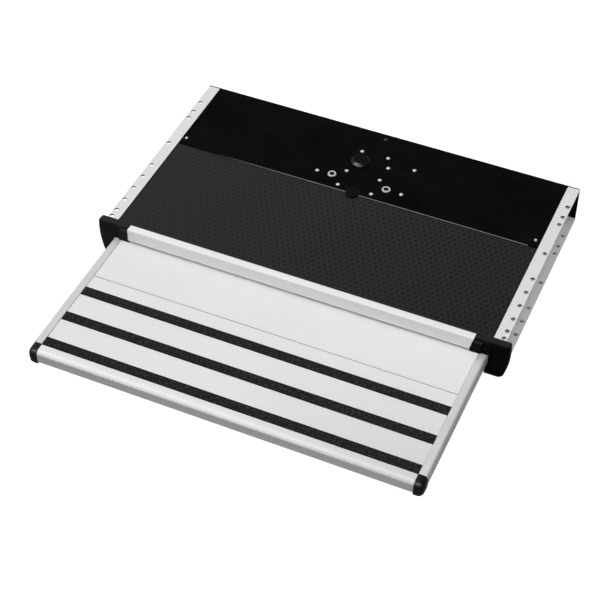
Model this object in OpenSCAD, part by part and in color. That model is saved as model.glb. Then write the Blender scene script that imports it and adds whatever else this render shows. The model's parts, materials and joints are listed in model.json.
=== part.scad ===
// Pull-out entrance step: a tread that slides from a low cassette, driven by two geared swing arms.
// X runs across the step, +Y towards the vehicle, +Z up. The rails' top face is at z = 0, and the
// origin is the centre of the outer rectangle of mounting holes. The tread is drawn fully out.

/* [Rails] */
// Length of each side rail
rail_len = 336.5; // [320:0.5:400]
// Height of each side rail
rail_h = 60; // [56:1:70]
// Width of the rail's outward flanges, web included
flange_w = 18; // [16:0.5:26]
// Wall of the rail's web and flanges
rail_wall = 2.5; // [2:0.1:3.5]
// Thickness of the rail's inward ledges
ledge_t = 2.2; // [1.8:0.1:2.6]
// Reach of the ledge that carries the cover sheet
sheet_ledge = 12.4; // [11:0.1:14]
// Reach of the two ledges that guide the tread
guide_ledge = 10; // [8:0.1:11]
// Diameter of the mounting holes
bolt_d = 6.6; // [5.5:0.1:7]
// Distance of the mounting holes from the flange's outer edge
bolt_inset = 5.2; // [4.5:0.1:6]
// Radius of the screw ports along the web
port_r = 3.4; // [3:0.1:3.8]

/* [Cover] */
// Thickness of the textured cover sheet
sheet_t = 2; // [1.5:0.1:2.5]
// Thickness of the rear doubler plate
doubler_t = 1.5; // [1:0.1:2]
// Front edge of the doubler plate, behind the rail fronts
doubler_front = 191.2; // [187:0.1:194]
// Thickness of the rear wall
rear_wall_t = 2; // [1.5:0.1:3]
// Depth of the rear wall's top flange
rear_flange = 20; // [16:0.5:24]

/* [Crossbar] */
// Length of the front crossbar
bar_len = 530.6; // [520:0.2:536]
// Depth of the crossbar's top lip
bar_lip = 12.4; // [12:0.1:13]
// Height of the lip's front crease over the rails
bar_rise = 2.5; // [2:0.1:4]
// Drop of the crossbar's sloping face
bar_drop = 12.7; // [11.5:0.1:14.5]
// Forward slope of the crossbar's face over its drop
bar_slope = 9; // [6:0.1:10]
// Wall of the crossbar's face
bar_wall = 2.2; // [1.8:0.1:2.4]
// Inward taper of the crossbar's ends, from its crease to its foot
bar_taper = 3.5; // [2:0.1:5]

/* [Front caps] */
// Depth of the front caps ahead of the rails
cap_d = 12.5; // [10:0.5:14]
// Reach of the caps outside the rails
cap_out = 8.6; // [6:0.1:12]
// Height of the caps over the rails' top
cap_over = 0.4; // [0.2:0.1:3]
// Drop of the caps, and of the rear wall, below the rails
cap_under = 2; // [1.5:0.1:3]
// Forward reach of the cap's step over the tread
cap_step = 20; // [19:0.5:23]

/* [Tread] */
// Width of the tread panel between its side profiles
panel_w = 550; // [520:1:600]
// Width of the tread's side profiles
side_w = 11.8; // [11:0.1:14]
// Thickness of the tread's planks
tread_t = 20; // [18:0.5:22]
// Depth of the tread's top below the rails' top
tread_drop = 18.8; // [18.6:0.1:19.5]
// How far the nose stands ahead of the rails when out
tread_out = 262.2; // [254:0.1:275]
// Travel of the tread
travel = 228; // [220:1:230]
// Distance of the seam between the planks behind the nose
seam_back = 162; // [158:0.5:168]
// Width of the seam and of the joints at the side profiles
joint_gap = 0.5; // [0.3:0.1:0.8]
// Radius of the nose's top edge
nose_r = 8.5; // [7:0.1:9]
// Wall of the hollow planks
plank_wall = 1.8; // [1.6:0.1:3]
// Length of the side profiles behind the rail fronts
side_back = 85.5; // [80:0.5:92]
// Wall of the side profiles
side_wall = 1.8; // [1.5:0.1:2.4]

/* [Grip strips] */
// Width of each grip strip
strip_w = 14.7; // [12:0.1:16]
// Distance of the first strip's middle behind the nose
strip_first = 24.9; // [24:0.1:26]
// Spacing of the strips
strip_pitch = 53.2; // [50:0.1:55]
// Thickness of the strips
strip_t = 1.2; // [1:0.1:1.5]
// Depth of the grooves that hold the strips
strip_groove = 1; // [0.8:0.1:1]

/* [Drive] */
// Distance of the arm pivots behind the rail fronts
pivot_back = 218.8; // [215:0.1:222]
// Length of the arms from pivot to eye
arm_len = 222; // [220:0.1:224]
// Angle of the arms from straight ahead when the tread is out
lock_angle = 4; // [3:0.1:5]
// Thickness of the arms
arm_t = 5; // [4:0.1:5]
// Module of the gear teeth
gear_m = 1.25; // [1.2:0.01:1.28]
// Teeth that the arm sectors would have as full gears
sector_z = 70; // [68:2:72]
// Teeth of the drive pinion
pinion_z = 14; // [12:1:16]
// Direction of the pinion from the left pivot
pinion_dir = 58.1; // [56:0.1:60]
// Radius of the pinion's shaft
shaft_r = 4; // [3.5:0.1:4.5]
// Radius of the pivot bosses
pivot_r = 8; // [7.5:0.1:8.5]
// Width of the shoe tracks
track_w = 18; // [17:0.1:18.6]
// Height of the shoe tracks
track_h = 6.2; // [6:0.1:6.4]

/* [Clearances] */
// Radial clearance of turning fits
run_fit = 0.05; // [0.02:0.01:0.1]
// Radial clearance of fasteners in their holes
hole_fit = 0.1; // [0.05:0.01:0.3]
// Clearance of sliding faces
slide_fit = 0.3; // [0.2:0.05:0.5]
// Thinning of each gear tooth flank
flank_fit = 0.15; // [0.1:0.01:0.2]

/* [Hidden] */
$fn = 48;
over = 1;

// Rows of mounting holes, from the rails' front; the first takes the cap's peg
bolt_rows = [4.5, 18.5, 43.5, 71.5, 99.5, 128.5, 184.5, 251.5, 268.5, 292.5];
rail_front = -(bolt_rows[1] + bolt_rows[9]) / 2;
rail_back = rail_front + rail_len;
bolt_r = bolt_d / 2;

// Levels, from the top down
sheet_top = -doubler_t;
sheet_bottom = sheet_top - sheet_t;
flange_plate_t = 1.5;
flange_bottom = sheet_bottom - flange_plate_t;
arm_gap = 0.5;
arm_top = flange_bottom - arm_gap;
arm_bottom = arm_top - arm_t;
boss_bottom = arm_bottom - slide_fit;
tread_top = -tread_drop;
plank_bottom = tread_top - tread_t;
side_lip_t = 2;
side_bottom = plank_bottom - side_lip_t;
glide_t = 1.7;
glide_top = side_bottom - slide_fit;
guide_low = glide_top - glide_t;
runner_rise = 0.7;
guide_high = tread_top + runner_rise + slide_fit;
track_top = tread_top + track_h;
shoe_gap = 0.4;
shoe_top = arm_bottom - shoe_gap;
foot_z = -rail_h - cap_under;

// Widths, from the middle out
bar_x = bar_len / 2;
web_gap = 1.6;
step_least = 12;
panel_x = max(panel_w / 2, bar_x + step_least - side_w - web_gap);
side_x = panel_x + side_w;
web_x = side_x + web_gap;
rail_x = web_x + flange_w;
bolt_x = rail_x - bolt_inset;
sheet_gap = 0.4;
sheet_x = web_x - sheet_gap;
port_x = web_x + rail_wall + port_r - 0.6;
port_z = [-rail_h / 3, -2 * rail_h / 3];
port_hole_r = port_r / 2;

// Places along the tread
nose_y = rail_front - tread_out;
seam_y = nose_y + seam_back;
pivot_y = rail_front + pivot_back;
track_y = pivot_y - arm_len * cos(lock_angle);
tread_back = track_y + track_w / 2;
runner_len = 10;
buffer_room = 13;
side_end = rail_front + min(side_back, rail_len - travel - runner_len - buffer_room);
strip_y = [for (i = [0:2]) nose_y + strip_first + i * strip_pitch];
nose_cap_back = strip_y[0] - strip_w / 2 - joint_gap;

// Drive geometry
pivot_x = gear_m * sector_z / 2;
gear_pitch_r = pivot_x;
pinion_pitch_r = gear_m * pinion_z / 2;
pinion_x = -pivot_x + (gear_pitch_r + pinion_pitch_r) * cos(pinion_dir);
pinion_y = pivot_y + (gear_pitch_r + pinion_pitch_r) * sin(pinion_dir);
shoe_x = pivot_x + arm_len * sin(lock_angle);
bush_t = 2;
hub_r = pivot_r + bush_t + 5.5;
eye_r = 8.5;
eye_hole_r = 5;
pivot_bolt_r = 4;
washer_r = 11;
washer_t = 1.2;
nut_r = 7.4;
nut_t = 3.6;

// Fasteners
rivet_r = 1.6;
rivet_head_r = 3.2;
rivet_head_h = 1.3;
screw_r = 1.8;
screw_head_r = 3.5;
screw_head_h = 2;
rivet_circle = 24;
rivet_angles = [0, 135, 225];
corner_screw_x = sheet_x - 7.2;
corner_screw_y = rail_front + doubler_front + 13.5;
corner_head_r = 4.6;
// Places of the motor rivets from the pinion
motor_rivet_x = [-6.4, 35.7, 44.3, 82.3];
motor_rivet_y = [23.3, 24.2, 2.9, 14.3];
motor_points = [for (i = [0:3]) [pinion_x + motor_rivet_x[i], pinion_y + motor_rivet_y[i]]];
spacer_r = 4.2;
spacer_gap = 1;
// The rear wall's flange stops short of the spacers
wall_flange = min(rear_flange, rail_back - pinion_y - max(motor_rivet_y) - spacer_r - spacer_gap);
rear_rivet_back = 9.9;
rear_rivet_y = rail_back - min(rear_rivet_back, wall_flange / 2);
disc_y = rail_front + doubler_front + 1.8;
disc_r = 10.6;
disc_stem_r = 3;

// Gearbox and motor
bracket_top = shoe_top - 2;
bracket_t = 2.5;
bracket_bottom = bracket_top - bracket_t;
gearbox_r = 24.5;
gearbox_h = 36;
gearbox_bottom = bracket_bottom - gearbox_h;
lid_t = 3;
worm_y = pinion_y + 13.6;
motor_r = 16.5;
motor_z = bracket_bottom - motor_r - 1.5;
motor_out = 34;
motor_start = pinion_x + motor_out;
motor_len = 66;
end_cover_len = 11;
gearbox_screw_angles = [30, 150, 270];
gearbox_screw_circle = 19;
gearbox_screw_deep = 8;
barrel_in = 4;

// Crossbar section points, as distances from the rail fronts and heights
bar_back = rail_front - 3.9;
bar_back_z = 1.3;
bar_crease = [bar_back - bar_lip, bar_rise];
bar_foot = [bar_crease[0] - bar_slope, bar_rise - bar_drop];
bar_face = sqrt(bar_slope * bar_slope + bar_drop * bar_drop);
bar_in = [bar_drop / bar_face * bar_wall, -bar_slope / bar_face * bar_wall];
bar_under = sheet_top + 0.3;
bar_inner_y = bar_crease[0] + bar_in[0] - (bar_crease[1] + bar_in[1] - bar_under) * bar_slope / bar_drop;
sheet_front = bar_inner_y + 3.6;
bar_screw_x = bar_x - 6.3;
bar_screw_y = (bar_back + sheet_front) / 2;

// Colours
alloy = [0.86, 0.87, 0.88];
black = [0.07, 0.07, 0.075];
charcoal = [0.17, 0.17, 0.18];
steel = [0.55, 0.56, 0.58];
zinc = [0.72, 0.72, 0.7];
grit = [0.13, 0.13, 0.13];
white_plastic = [0.9, 0.9, 0.87];

// General shapes

// A rectangle from one corner to the other, with a radius for each corner, anticlockwise from low-left
module rounded(a, b, r) {
    polygon(concat(
        r[0] > 0 ? [[a[0], a[1] + r[0]], [a[0] + r[0], a[1]]] : [a],
        r[1] > 0 ? [[b[0] - r[1], a[1]], [b[0], a[1] + r[1]]] : [[b[0], a[1]]],
        r[2] > 0 ? [[b[0], b[1] - r[2]], [b[0] - r[2], b[1]]] : [b],
        r[3] > 0 ? [[a[0] + r[3], b[1]], [a[0], b[1] - r[3]]] : [[a[0], b[1]]]
    ));
    if (r[0] > 0) translate([a[0] + r[0], a[1] + r[0]]) circle(r[0]);
    if (r[1] > 0) translate([b[0] - r[1], a[1] + r[1]]) circle(r[1]);
    if (r[2] > 0) translate([b[0] - r[2], b[1] - r[2]]) circle(r[2]);
    if (r[3] > 0) translate([a[0] + r[3], b[1] - r[3]]) circle(r[3]);
}

// Extrudes a section drawn as (x, z) from y0 to y1
module along_y(y0, y1) {
    translate([0, y1, 0])
        rotate([90, 0, 0])
            linear_extrude(y1 - y0)
                children();
}

// Extrudes a section drawn as (y, z) from x0 to x1
module along_x(x0, x1) {
    translate([x0, 0, 0])
        rotate([90, 0, 90])
            linear_extrude(x1 - x0)
                children();
}

// Extrudes a plan from z0 up to z1
module upright(z0, z1) {
    translate([0, 0, z0])
        linear_extrude(z1 - z0)
            children();
}

// A vertical round hole or pin from z0 to z1
module post(p, r, z0, z1) {
    translate([p[0], p[1], z0])
        cylinder(r = r, h = z1 - z0);
}

module right_left() {
    children();
    mirror([1, 0, 0])
        children();
}

module left() {
    mirror([1, 0, 0])
        children();
}

// A strip with round ends between two points
module bar2d(p, q, r) {
    d = q - p;
    translate(p)
        rotate(atan2(d[1], d[0])) {
            translate([0, -r]) square([norm(d), 2 * r]);
            circle(r);
            translate([norm(d), 0]) circle(r);
        }
}

// A domed head standing on z = 0
module dome(r, h) {
    ball = (r * r + h * h) / (2 * h);
    rotate_extrude()
        intersection() {
            translate([0, h - ball]) circle(ball, $fn = 180);
            square([r, h]);
        }
}

// A rivet from its domed head at z_top down to z_end
module rivet(p, z_top, z_end) {
    post(p, rivet_r, z_end, z_top);
    translate([p[0], p[1], z_top])
        dome(rivet_head_r, rivet_head_h);
}

// A cross-recessed pan-head screw with its head over z_top
module pan_screw(p, z_top, z_end, head_r) {
    recess = head_r * 1.1;
    slot = head_r / 4;
    post(p, screw_r, z_end, z_top);
    translate([p[0], p[1], z_top])
        difference() {
            dome(head_r, screw_head_h);
            for (a = [0, 90])
                rotate(a)
                    translate([-recess / 2, -slot / 2, screw_head_h / 2])
                        cube([recess, slot, screw_head_h]);
        }
}

// Involute teeth

pressure = 25;
addendum = 0.8 * gear_m;
dedendum = 1.05 * gear_m;
flank_steps = 4;
function polar(r, a) = [r * cos(a), r * sin(a)];
function roll(r, base) = r <= base ? 0 : sqrt(r * r / base / base - 1);
function involute(r, base) = roll(r, base) * 180 / PI - atan(roll(r, base));
// Half the angle of a tooth at radius r, on a gear of z teeth
function half_tooth(r, z) =
    let (pitch = gear_m * z / 2, base = pitch * cos(pressure))
    90 / z - flank_fit / pitch * 180 / PI + involute(pitch, base) - involute(r, base);
function flank(z) =
    let (pitch = gear_m * z / 2)
    [for (i = [0:flank_steps]) pitch - dedendum + i * (addendum + dedendum) / flank_steps];
// Outline of the teeth first to last, with a tooth centred on angle 0
function teeth(z, first, last) = [
    for (i = [first:last], side = [-1, 1], k = [0:flank_steps])
        let (r = flank(z)[side < 0 ? k : flank_steps - k])
        polar(r, i * 360 / z + side * half_tooth(r, z))
];

// Rails

module rail_section() {
    translate([web_x, -rail_h]) square([rail_wall, rail_h]);
    translate([web_x, -rail_wall]) square([flange_w, rail_wall]);
    translate([web_x, -rail_h]) square([flange_w, rail_wall]);
    translate([web_x - sheet_ledge, sheet_bottom - ledge_t]) square([sheet_ledge + over, ledge_t]);
    translate([web_x - guide_ledge, guide_high]) square([guide_ledge + over, ledge_t]);
    translate([web_x - guide_ledge, guide_low - ledge_t]) square([guide_ledge + over, ledge_t]);
    for (z = port_z)
        difference() {
            translate([port_x, z]) circle(port_r);
            translate([port_x, z]) circle(port_hole_r);
        }
}

module rail() {
    color(alloy)
        difference() {
            along_y(rail_front, rail_back) rail_section();
            for (row = bolt_rows)
                post([bolt_x, rail_front + row], bolt_r, -rail_h - over, over);
            corner_screw_holes();
        }
}

module corner_screw_holes() {
    post([corner_screw_x, corner_screw_y], screw_r + hole_fit, sheet_bottom - ledge_t - over, over);
}

module right_rail() rail();
module left_rail() left() rail();

// Cover sheet, doubler and what goes through them

module pivot_rivet_points(side) {
    for (a = rivet_angles)
        translate([side * (pivot_x + rivet_circle * cos(a)), pivot_y + rivet_circle * sin(a), 0])
            children();
}

module cover_holes() {
    z0 = flange_bottom - over;
    right_left() corner_screw_holes();
    for (side = [-1, 1]) {
        pivot_rivet_points(side) post([0, 0], rivet_r + hole_fit, z0, over);
        post([side * pivot_x, pivot_y], pivot_bolt_r + hole_fit, z0, over);
    }
    for (p = motor_points)
        post(p, rivet_r + hole_fit, z0, over);
    post([0, rear_rivet_y], rivet_r + hole_fit, z0, over);
    post([0, disc_y], disc_stem_r + hole_fit, z0, over);
    post([pinion_x, pinion_y], shaft_bush_r + hole_fit, z0, over);
}

module front_cover_sheet() {
    color(charcoal)
        difference() {
            translate([-sheet_x, sheet_front, sheet_bottom])
                cube([2 * sheet_x, rail_back - sheet_front, sheet_t]);
            cover_holes();
            right_left() post([bar_screw_x, bar_screw_y], screw_r + hole_fit, sheet_bottom - over, over);
        }
}

module rear_doubler_plate() {
    color(black)
        difference() {
            translate([-sheet_x, rail_front + doubler_front, sheet_top])
                cube([2 * sheet_x, rail_len - doubler_front, doubler_t]);
            cover_holes();
        }
}

module corner_screws() {
    color(steel)
        right_left()
            pan_screw([corner_screw_x, corner_screw_y], 0, sheet_bottom - ledge_t - 2, corner_head_r);
}

module rear_rivet() {
    color(black)
        rivet([0, rear_rivet_y], 0, sheet_bottom - rear_wall_t);
}

module pivot_rivets() {
    color(steel)
        for (side = [-1, 1])
            pivot_rivet_points(side) rivet([0, 0], 0, flange_bottom);
}

module motor_rivets() {
    color(steel)
        for (p = motor_points)
            rivet(p, 0, bracket_bottom);
}

module cover_disc() {
    disc_h = 2;
    disc_edge = 0.9;
    color(black) {
        translate([0, disc_y, 0])
            rotate_extrude() rounded([0, 0], [disc_r, disc_h], [0, 0, disc_edge, 0]);
        post([0, disc_y], disc_stem_r, sheet_bottom - 2, disc_h / 4);
    }
}

module shaft_dome() {
    dome_r = 15;
    dome_h = 6;
    shoulder_r = 4.2;
    color(black)
        translate([pinion_x, pinion_y, 0])
            difference() {
                rotate_extrude()
                    intersection() {
                        rounded([0, 0], [dome_r, dome_h], [0, 0, shoulder_r, 0]);
                        square([dome_r, dome_h]);
                    }
                translate([0, 0, -over]) cylinder(r = shaft_bush_r + 1.5, h = over + dome_h / 2);
            }
}

// Crossbar and caps

module bar_section() {
    polygon([
        [bar_back, bar_back_z], bar_crease, bar_foot, bar_foot + bar_in,
        [bar_inner_y, bar_under], [bar_back, sheet_top]
    ]);
}

// Half the crossbar's length at height z
function bar_end(z) = bar_x - bar_taper * (bar_rise - z) / bar_drop;

// What lies beyond the crossbar's slanted right end, moved out by `gap`
module past_bar_end(gap, z0, z1) {
    far = bar_x + 2 * bar_taper + over;
    along_y(nose_y, rail_front)
        polygon([[bar_end(z0) + gap, z0], [far, z0], [far, z1], [bar_end(z1) + gap, z1]]);
}

module front_crossbar() {
    blind = 0.6;
    color(alloy)
        difference() {
            along_x(-bar_x - over, bar_x + over) bar_section();
            right_left() past_bar_end(0, bar_foot[1] - bar_wall - over, bar_rise + over);
            right_left()
                post([bar_screw_x, bar_screw_y], screw_r + hole_fit, sheet_top - over, blind + hole_fit);
        }
}

module crossbar_screws() {
    color(steel)
        right_left()
            mirror([0, 0, 1])
                pan_screw([bar_screw_x, bar_screw_y], -tongue_bottom, -0.6, screw_head_r);
}

tongue_len = 13;
tongue_t = 4;
tongue_top = sheet_bottom;
tongue_bottom = tongue_top - tongue_t;
cap_edge = 1.5;
cap_wall = 3;
// Radii of the cap's outer corners, and of its bowed outer edge, widest at cap_bow_z
cap_top_r = 6;
cap_foot_r = 9;
cap_bow = 160;
cap_bow_z = -16;
// Inward lap of the cap over the ends of the rail's ledges
cap_lap = 4;
// Forward lean of the cap's front over the tread, and its ridge beside the crossbar
cap_lean = 6;
ridge_len = 12.2;
ridge_top = -1.8;
// Height of the open back of the step, so that the tracks pass beneath
step_room = track_top - guide_high + 3;
cap_x = rail_x + cap_out;
cap_front = rail_front - cap_d;
spigot_len = 9;

// Middle of a corner of radius r at height z that runs smoothly into the bowed edge
function bow_corner(r, z) = [cap_x - cap_bow + sqrt(pow(cap_bow - r, 2) - pow(z - cap_bow_z, 2)), z];

// Front outline of a cap, drawn in by `inset`
module cap_outline(inset) {
    middle = [cap_x - cap_bow, cap_bow_z];
    low = bow_corner(cap_foot_r, foot_z + cap_foot_r);
    high = bow_corner(cap_top_r, cap_over - cap_top_r);
    low_end = middle + (low - middle) * (cap_bow - inset) / (cap_bow - cap_foot_r);
    high_end = middle + (high - middle) * (cap_bow - inset) / (cap_bow - cap_top_r);
    inner = web_x - cap_lap + inset;
    intersection() {
        polygon([
            [inner, foot_z + inset], [low[0], foot_z + inset], low_end, [cap_x + over, low_end[1]],
            [cap_x + over, high_end[1]], high_end, [high[0], cap_over - inset], [inner, cap_over - inset]
        ]);
        translate(middle) circle(cap_bow - inset, $fn = 180);
    }
    translate(low) circle(cap_foot_r - inset);
    translate(high) circle(cap_top_r - inset);
}

// Side view of the part that reaches over the tread, with or without the ridge
module cap_step_section(ridge) {
    ridge_y = rail_front - cap_step;
    bevel = 2;
    polygon(concat(
        [[rail_front, guide_high], [rail_front, cap_over], [cap_front + cap_edge, cap_over]],
        [[cap_front, cap_over - cap_edge]],
        ridge
            ? [[cap_front - 0.5, ridge_top], [ridge_y + bevel, ridge_top - 0.4],
                [ridge_y, ridge_top - bevel - 0.4], [ridge_y - 0.4, guide_high]]
            : [[cap_front - cap_lean, guide_high]]
    ));
}

module cap_step() {
    step_fit = 0.1;
    along_x(bar_x + ridge_len - over, web_x + over) cap_step_section(false);
    intersection() {
        along_x(bar_x - bar_taper, bar_x + ridge_len) cap_step_section(true);
        union() {
            past_bar_end(step_fit, guide_high - over, cap_over + over);
            translate([bar_x + over, rail_front - 2 * cap_step, guide_high - over])
                cube([ridge_len, 2 * cap_step, cap_over - guide_high + 2 * over]);
        }
    }
}

module front_cap() {
    slot_z = [-rail_wall - slide_fit, -rail_h + rail_wall + slide_fit];
    spigot_x = web_x + rail_wall + slide_fit;
    color(black)
        difference() {
            union() {
                along_y(cap_front + cap_edge, rail_front) cap_outline(0);
                hull() {
                    along_y(cap_front + cap_edge - 0.01, cap_front + cap_edge) cap_outline(0, $fn = 32);
                    along_y(cap_front, cap_front + 0.01) cap_outline(cap_edge, $fn = 32);
                }
                cap_step();
                translate([bar_x - tongue_len, sheet_front, tongue_bottom])
                    cube([tongue_len + cap_wall, rail_front - sheet_front, tongue_t]);
                translate([spigot_x, rail_front - over, slot_z[1]])
                    cube([bolt_x - bolt_r - cap_edge - spigot_x, spigot_len + over, slot_z[0] - slot_z[1]]);
                translate([spigot_x, rail_front - over, slot_z[1]])
                    cube([rail_x - spigot_x - cap_edge, spigot_len + over, cap_wall]);
                post(
                    [bolt_x, rail_front + bolt_rows[0]], bolt_r - slide_fit,
                    -rail_h + 0.5, slot_z[1] + cap_wall
                );
            }
            // Window for the tread's side, between the rail's guide ledges
            translate([web_x - cap_lap - over, cap_front - over, guide_low])
                cube([cap_lap + over, cap_d + 2 * over, guide_high - guide_low]);
            // Room for the cover sheet, moulded-out back of the step and of the spigot
            translate([-sheet_x - slide_fit, sheet_front - slide_fit, sheet_bottom])
                cube([2 * sheet_x + 2 * slide_fit, rail_front - sheet_front + over, sheet_t + slide_fit]);
            translate([bar_x - tongue_len, rail_front - cap_step + cap_wall, guide_high - over])
                cube([track_out + over - bar_x + tongue_len, cap_step, step_room + over]);
            translate([spigot_x + cap_wall, cap_front + cap_wall, slot_z[1] + cap_wall])
                cube([rail_x, cap_d + spigot_len, slot_z[0] - slot_z[1] - 2 * cap_wall]
                    - [spigot_x + 2 * cap_wall + cap_edge, 0, 0]);
            for (z = port_z)
                translate([port_x, rail_front - over, z])
                    rotate([-90, 0, 0]) cylinder(r = port_r + slide_fit, h = spigot_len + 2 * over);
            post([bar_screw_x, bar_screw_y], screw_r + hole_fit, tongue_bottom - over, tongue_top + over);
        }
}

module right_front_cap() front_cap();
module left_front_cap() left() front_cap();

// Rear wall

grommet_x = 120;
grommet_r = 9;
grommet_z = -rail_h / 2;
wall_flange_x = web_x - sheet_ledge - 4;
buffer_r = 6;
buffer_z = (tread_top + side_bottom) / 2;
buffer_x = panel_x + side_w / 2;

module rear_wall() {
    color(black)
        difference() {
            union() {
                translate([-rail_x, rail_back, foot_z]) cube([2 * rail_x, rear_wall_t, -foot_z]);
                translate([-wall_flange_x, rail_back - wall_flange, sheet_bottom - rear_wall_t])
                    cube([2 * wall_flange_x, wall_flange + over, rear_wall_t]);
            }
            post([0, rear_rivet_y], rivet_r + hole_fit, sheet_bottom - rear_wall_t - over, over);
            right_left()
                for (z = port_z) wall_hole(port_x, z, screw_r + hole_fit);
            right_left() wall_hole(buffer_x, buffer_z, rivet_r + hole_fit);
            wall_hole(grommet_x, grommet_z, grommet_r);
        }
}

module wall_hole(x, z, r) {
    translate([x, rail_back - over, z])
        rotate([-90, 0, 0]) cylinder(r = r, h = rear_wall_t + 2 * over);
}

module rear_wall_screws() {
    screw_in = 14;
    color(steel)
        right_left()
            for (z = port_z)
                translate([port_x, rail_back + rear_wall_t, z])
                    rotate([-90, 0, 0])
                        difference() {
                            union() {
                                translate([0, 0, -screw_in]) cylinder(r = port_hole_r - 0.02, h = screw_in);
                                dome(screw_head_r, screw_head_h);
                            }
                            translate([0, 0, screw_head_h / 2]) cylinder(r = 1.6, h = screw_head_h, $fn = 6);
                        }
}

module rear_buffers() {
    room = 0.8;
    runner_back = side_end + runner_len + travel;
    reach = rail_back - runner_back - room;
    color(black)
        right_left()
            translate([buffer_x, rail_back, buffer_z])
                rotate([90, 0, 0])
                    rotate_extrude()
                        polygon([
                            [0, -rear_wall_t], [rivet_r, -rear_wall_t], [rivet_r, 0], [buffer_r, 0],
                            [buffer_r - 1.2, reach], [0, reach]
                        ]);
}

module cable_grommet() {
    lip = 2;
    lead_r = 4;
    skin = 0.8;
    color(black)
        translate([grommet_x, rail_back, grommet_z])
            rotate([-90, 0, 0])
                rotate_extrude()
                    polygon([
                        [0, 0], [lead_r, 0], [lead_r, -lip], [grommet_r + lip, -lip], [grommet_r + lip, 0],
                        [grommet_r, 0], [grommet_r, rear_wall_t], [grommet_r + lip, rear_wall_t],
                        [grommet_r + lip - 0.8, rear_wall_t + lip], [lead_r, rear_wall_t + lip],
                        [lead_r, skin], [0, skin]
                    ]);
}

module glide_strips() {
    edge = 1;
    color(white_plastic)
        right_left()
            translate([web_x - guide_ledge + edge, rail_front + edge, guide_low])
                cube([guide_ledge - 2 * edge, rail_len - 2 * edge, glide_t]);
}

// Pivots

module pivot_flange() {
    lobe_r = 6;
    color(steel)
        translate([pivot_x, pivot_y, 0])
            difference() {
                union() {
                    upright(flange_bottom, sheet_bottom) {
                        polygon([for (a = rivet_angles) polar(rivet_circle + lobe_r / 2, a)]);
                        for (a = rivet_angles)
                            bar2d([0, 0], polar(rivet_circle, a), lobe_r);
                        circle(hub_r);
                    }
                    post([0, 0], hub_r - 2, arm_top, flange_bottom);
                    post([0, 0], pivot_r, boss_bottom, flange_bottom);
                }
                post([0, 0], pivot_bolt_r + hole_fit, boss_bottom - over, over);
                for (a = rivet_angles)
                    post(polar(rivet_circle, a), rivet_r + hole_fit, flange_bottom - over, over);
            }
}

module right_pivot_flange() pivot_flange();
module left_pivot_flange() left() pivot_flange();

module pivot_bolts() {
    head_r = 7;
    head_h = 4.4;
    socket_r = 3.5;
    socket_deep = 3.4;
    color(zinc)
        for (side = [-1, 1])
            translate([side * pivot_x, pivot_y, 0])
                difference() {
                    union() {
                        rotate_extrude()
                            rounded([0, 0], [head_r, head_h], [0, 0, 1.4, 0]);
                        post([0, 0], pivot_bolt_r, nut_bottom - 0.6, over);
                    }
                    translate([0, 0, head_h - socket_deep]) cylinder(r = socket_r, h = head_h, $fn = 6);
                }
}

washer_bottom = boss_bottom - washer_t;
nut_bottom = washer_bottom - nut_t;

module pivot_washers() {
    color(zinc)
        for (side = [-1, 1])
            difference() {
                post([side * pivot_x, pivot_y], washer_r, washer_bottom, boss_bottom);
                post(
                    [side * pivot_x, pivot_y], pivot_bolt_r + hole_fit,
                    washer_bottom - over, boss_bottom + over
                );
            }
}

module pivot_nuts() {
    color(zinc)
        for (side = [-1, 1])
            difference() {
                translate([side * pivot_x, pivot_y, nut_bottom]) cylinder(r = nut_r, h = nut_t, $fn = 6);
                post([side * pivot_x, pivot_y], pivot_bolt_r + 0.02, nut_bottom - over, washer_bottom + over);
            }
}

// Arms, drawn for the right side, with the pivot at the middle

// First and last tooth of each sector, counted from the tooth or space that meshes at rest
left_teeth = [-2, 30];
right_teeth = [-19, 1];
arm_dir = -90 + lock_angle;
eye_at = polar(arm_len, arm_dir);

// Plan of one arm: hub, blade with two slots and an eye
module arm_blade() {
    slot_r = 3.5;
    slot_start = 60;
    slot_end_back = 30;
    slot_end = arm_len - slot_end_back;
    slot_bridge = 26;
    slot_mid = (slot_start + slot_end) / 2;
    wide = 12;
    narrow = 7.5;
    across = polar(1, arm_dir + 90);
    difference() {
        union() {
            circle(hub_r);
            polygon([across * wide, -across * wide, eye_at - across * narrow, eye_at + across * narrow]);
            translate(eye_at) circle(eye_r);
        }
        bar2d(polar(slot_start, arm_dir), polar(slot_mid - slot_bridge / 2, arm_dir), slot_r);
        bar2d(polar(slot_mid + slot_bridge / 2, arm_dir), polar(slot_end, arm_dir), slot_r - 0.7);
    }
}

module arm_holes() {
    post([0, 0], pivot_r + bush_t, arm_bottom - over, arm_top + over);
    post(eye_at, eye_hole_r, arm_bottom - over, arm_top + over);
}

module right_arm() {
    first = right_teeth[0];
    last = right_teeth[1];
    color(steel)
        translate([pivot_x, pivot_y, 0])
            difference() {
                upright(arm_bottom, arm_top) {
                    arm_blade();
                    rotate(180 + 180 / sector_z)
                        polygon(concat([[0, 0]], teeth(sector_z, first, last)));
                }
                arm_holes();
            }
}

module left_arm() {
    color(steel)
        translate([-pivot_x, pivot_y, 0])
            difference() {
                upright(arm_bottom, arm_top) {
                    left() arm_blade();
                    polygon(concat([[0, 0]], teeth(sector_z, left_teeth[0], left_teeth[1])));
                }
                left() arm_holes();
            }
}

module arm_bush() {
    color([0.72, 0.55, 0.3])
        translate([pivot_x, pivot_y, 0])
            difference() {
                post([0, 0], pivot_r + bush_t - 0.02, arm_bottom, arm_top);
                post([0, 0], pivot_r + run_fit, arm_bottom - over, arm_top + over);
            }
}

module right_arm_bush() arm_bush();
module left_arm_bush() left() arm_bush();

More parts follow.
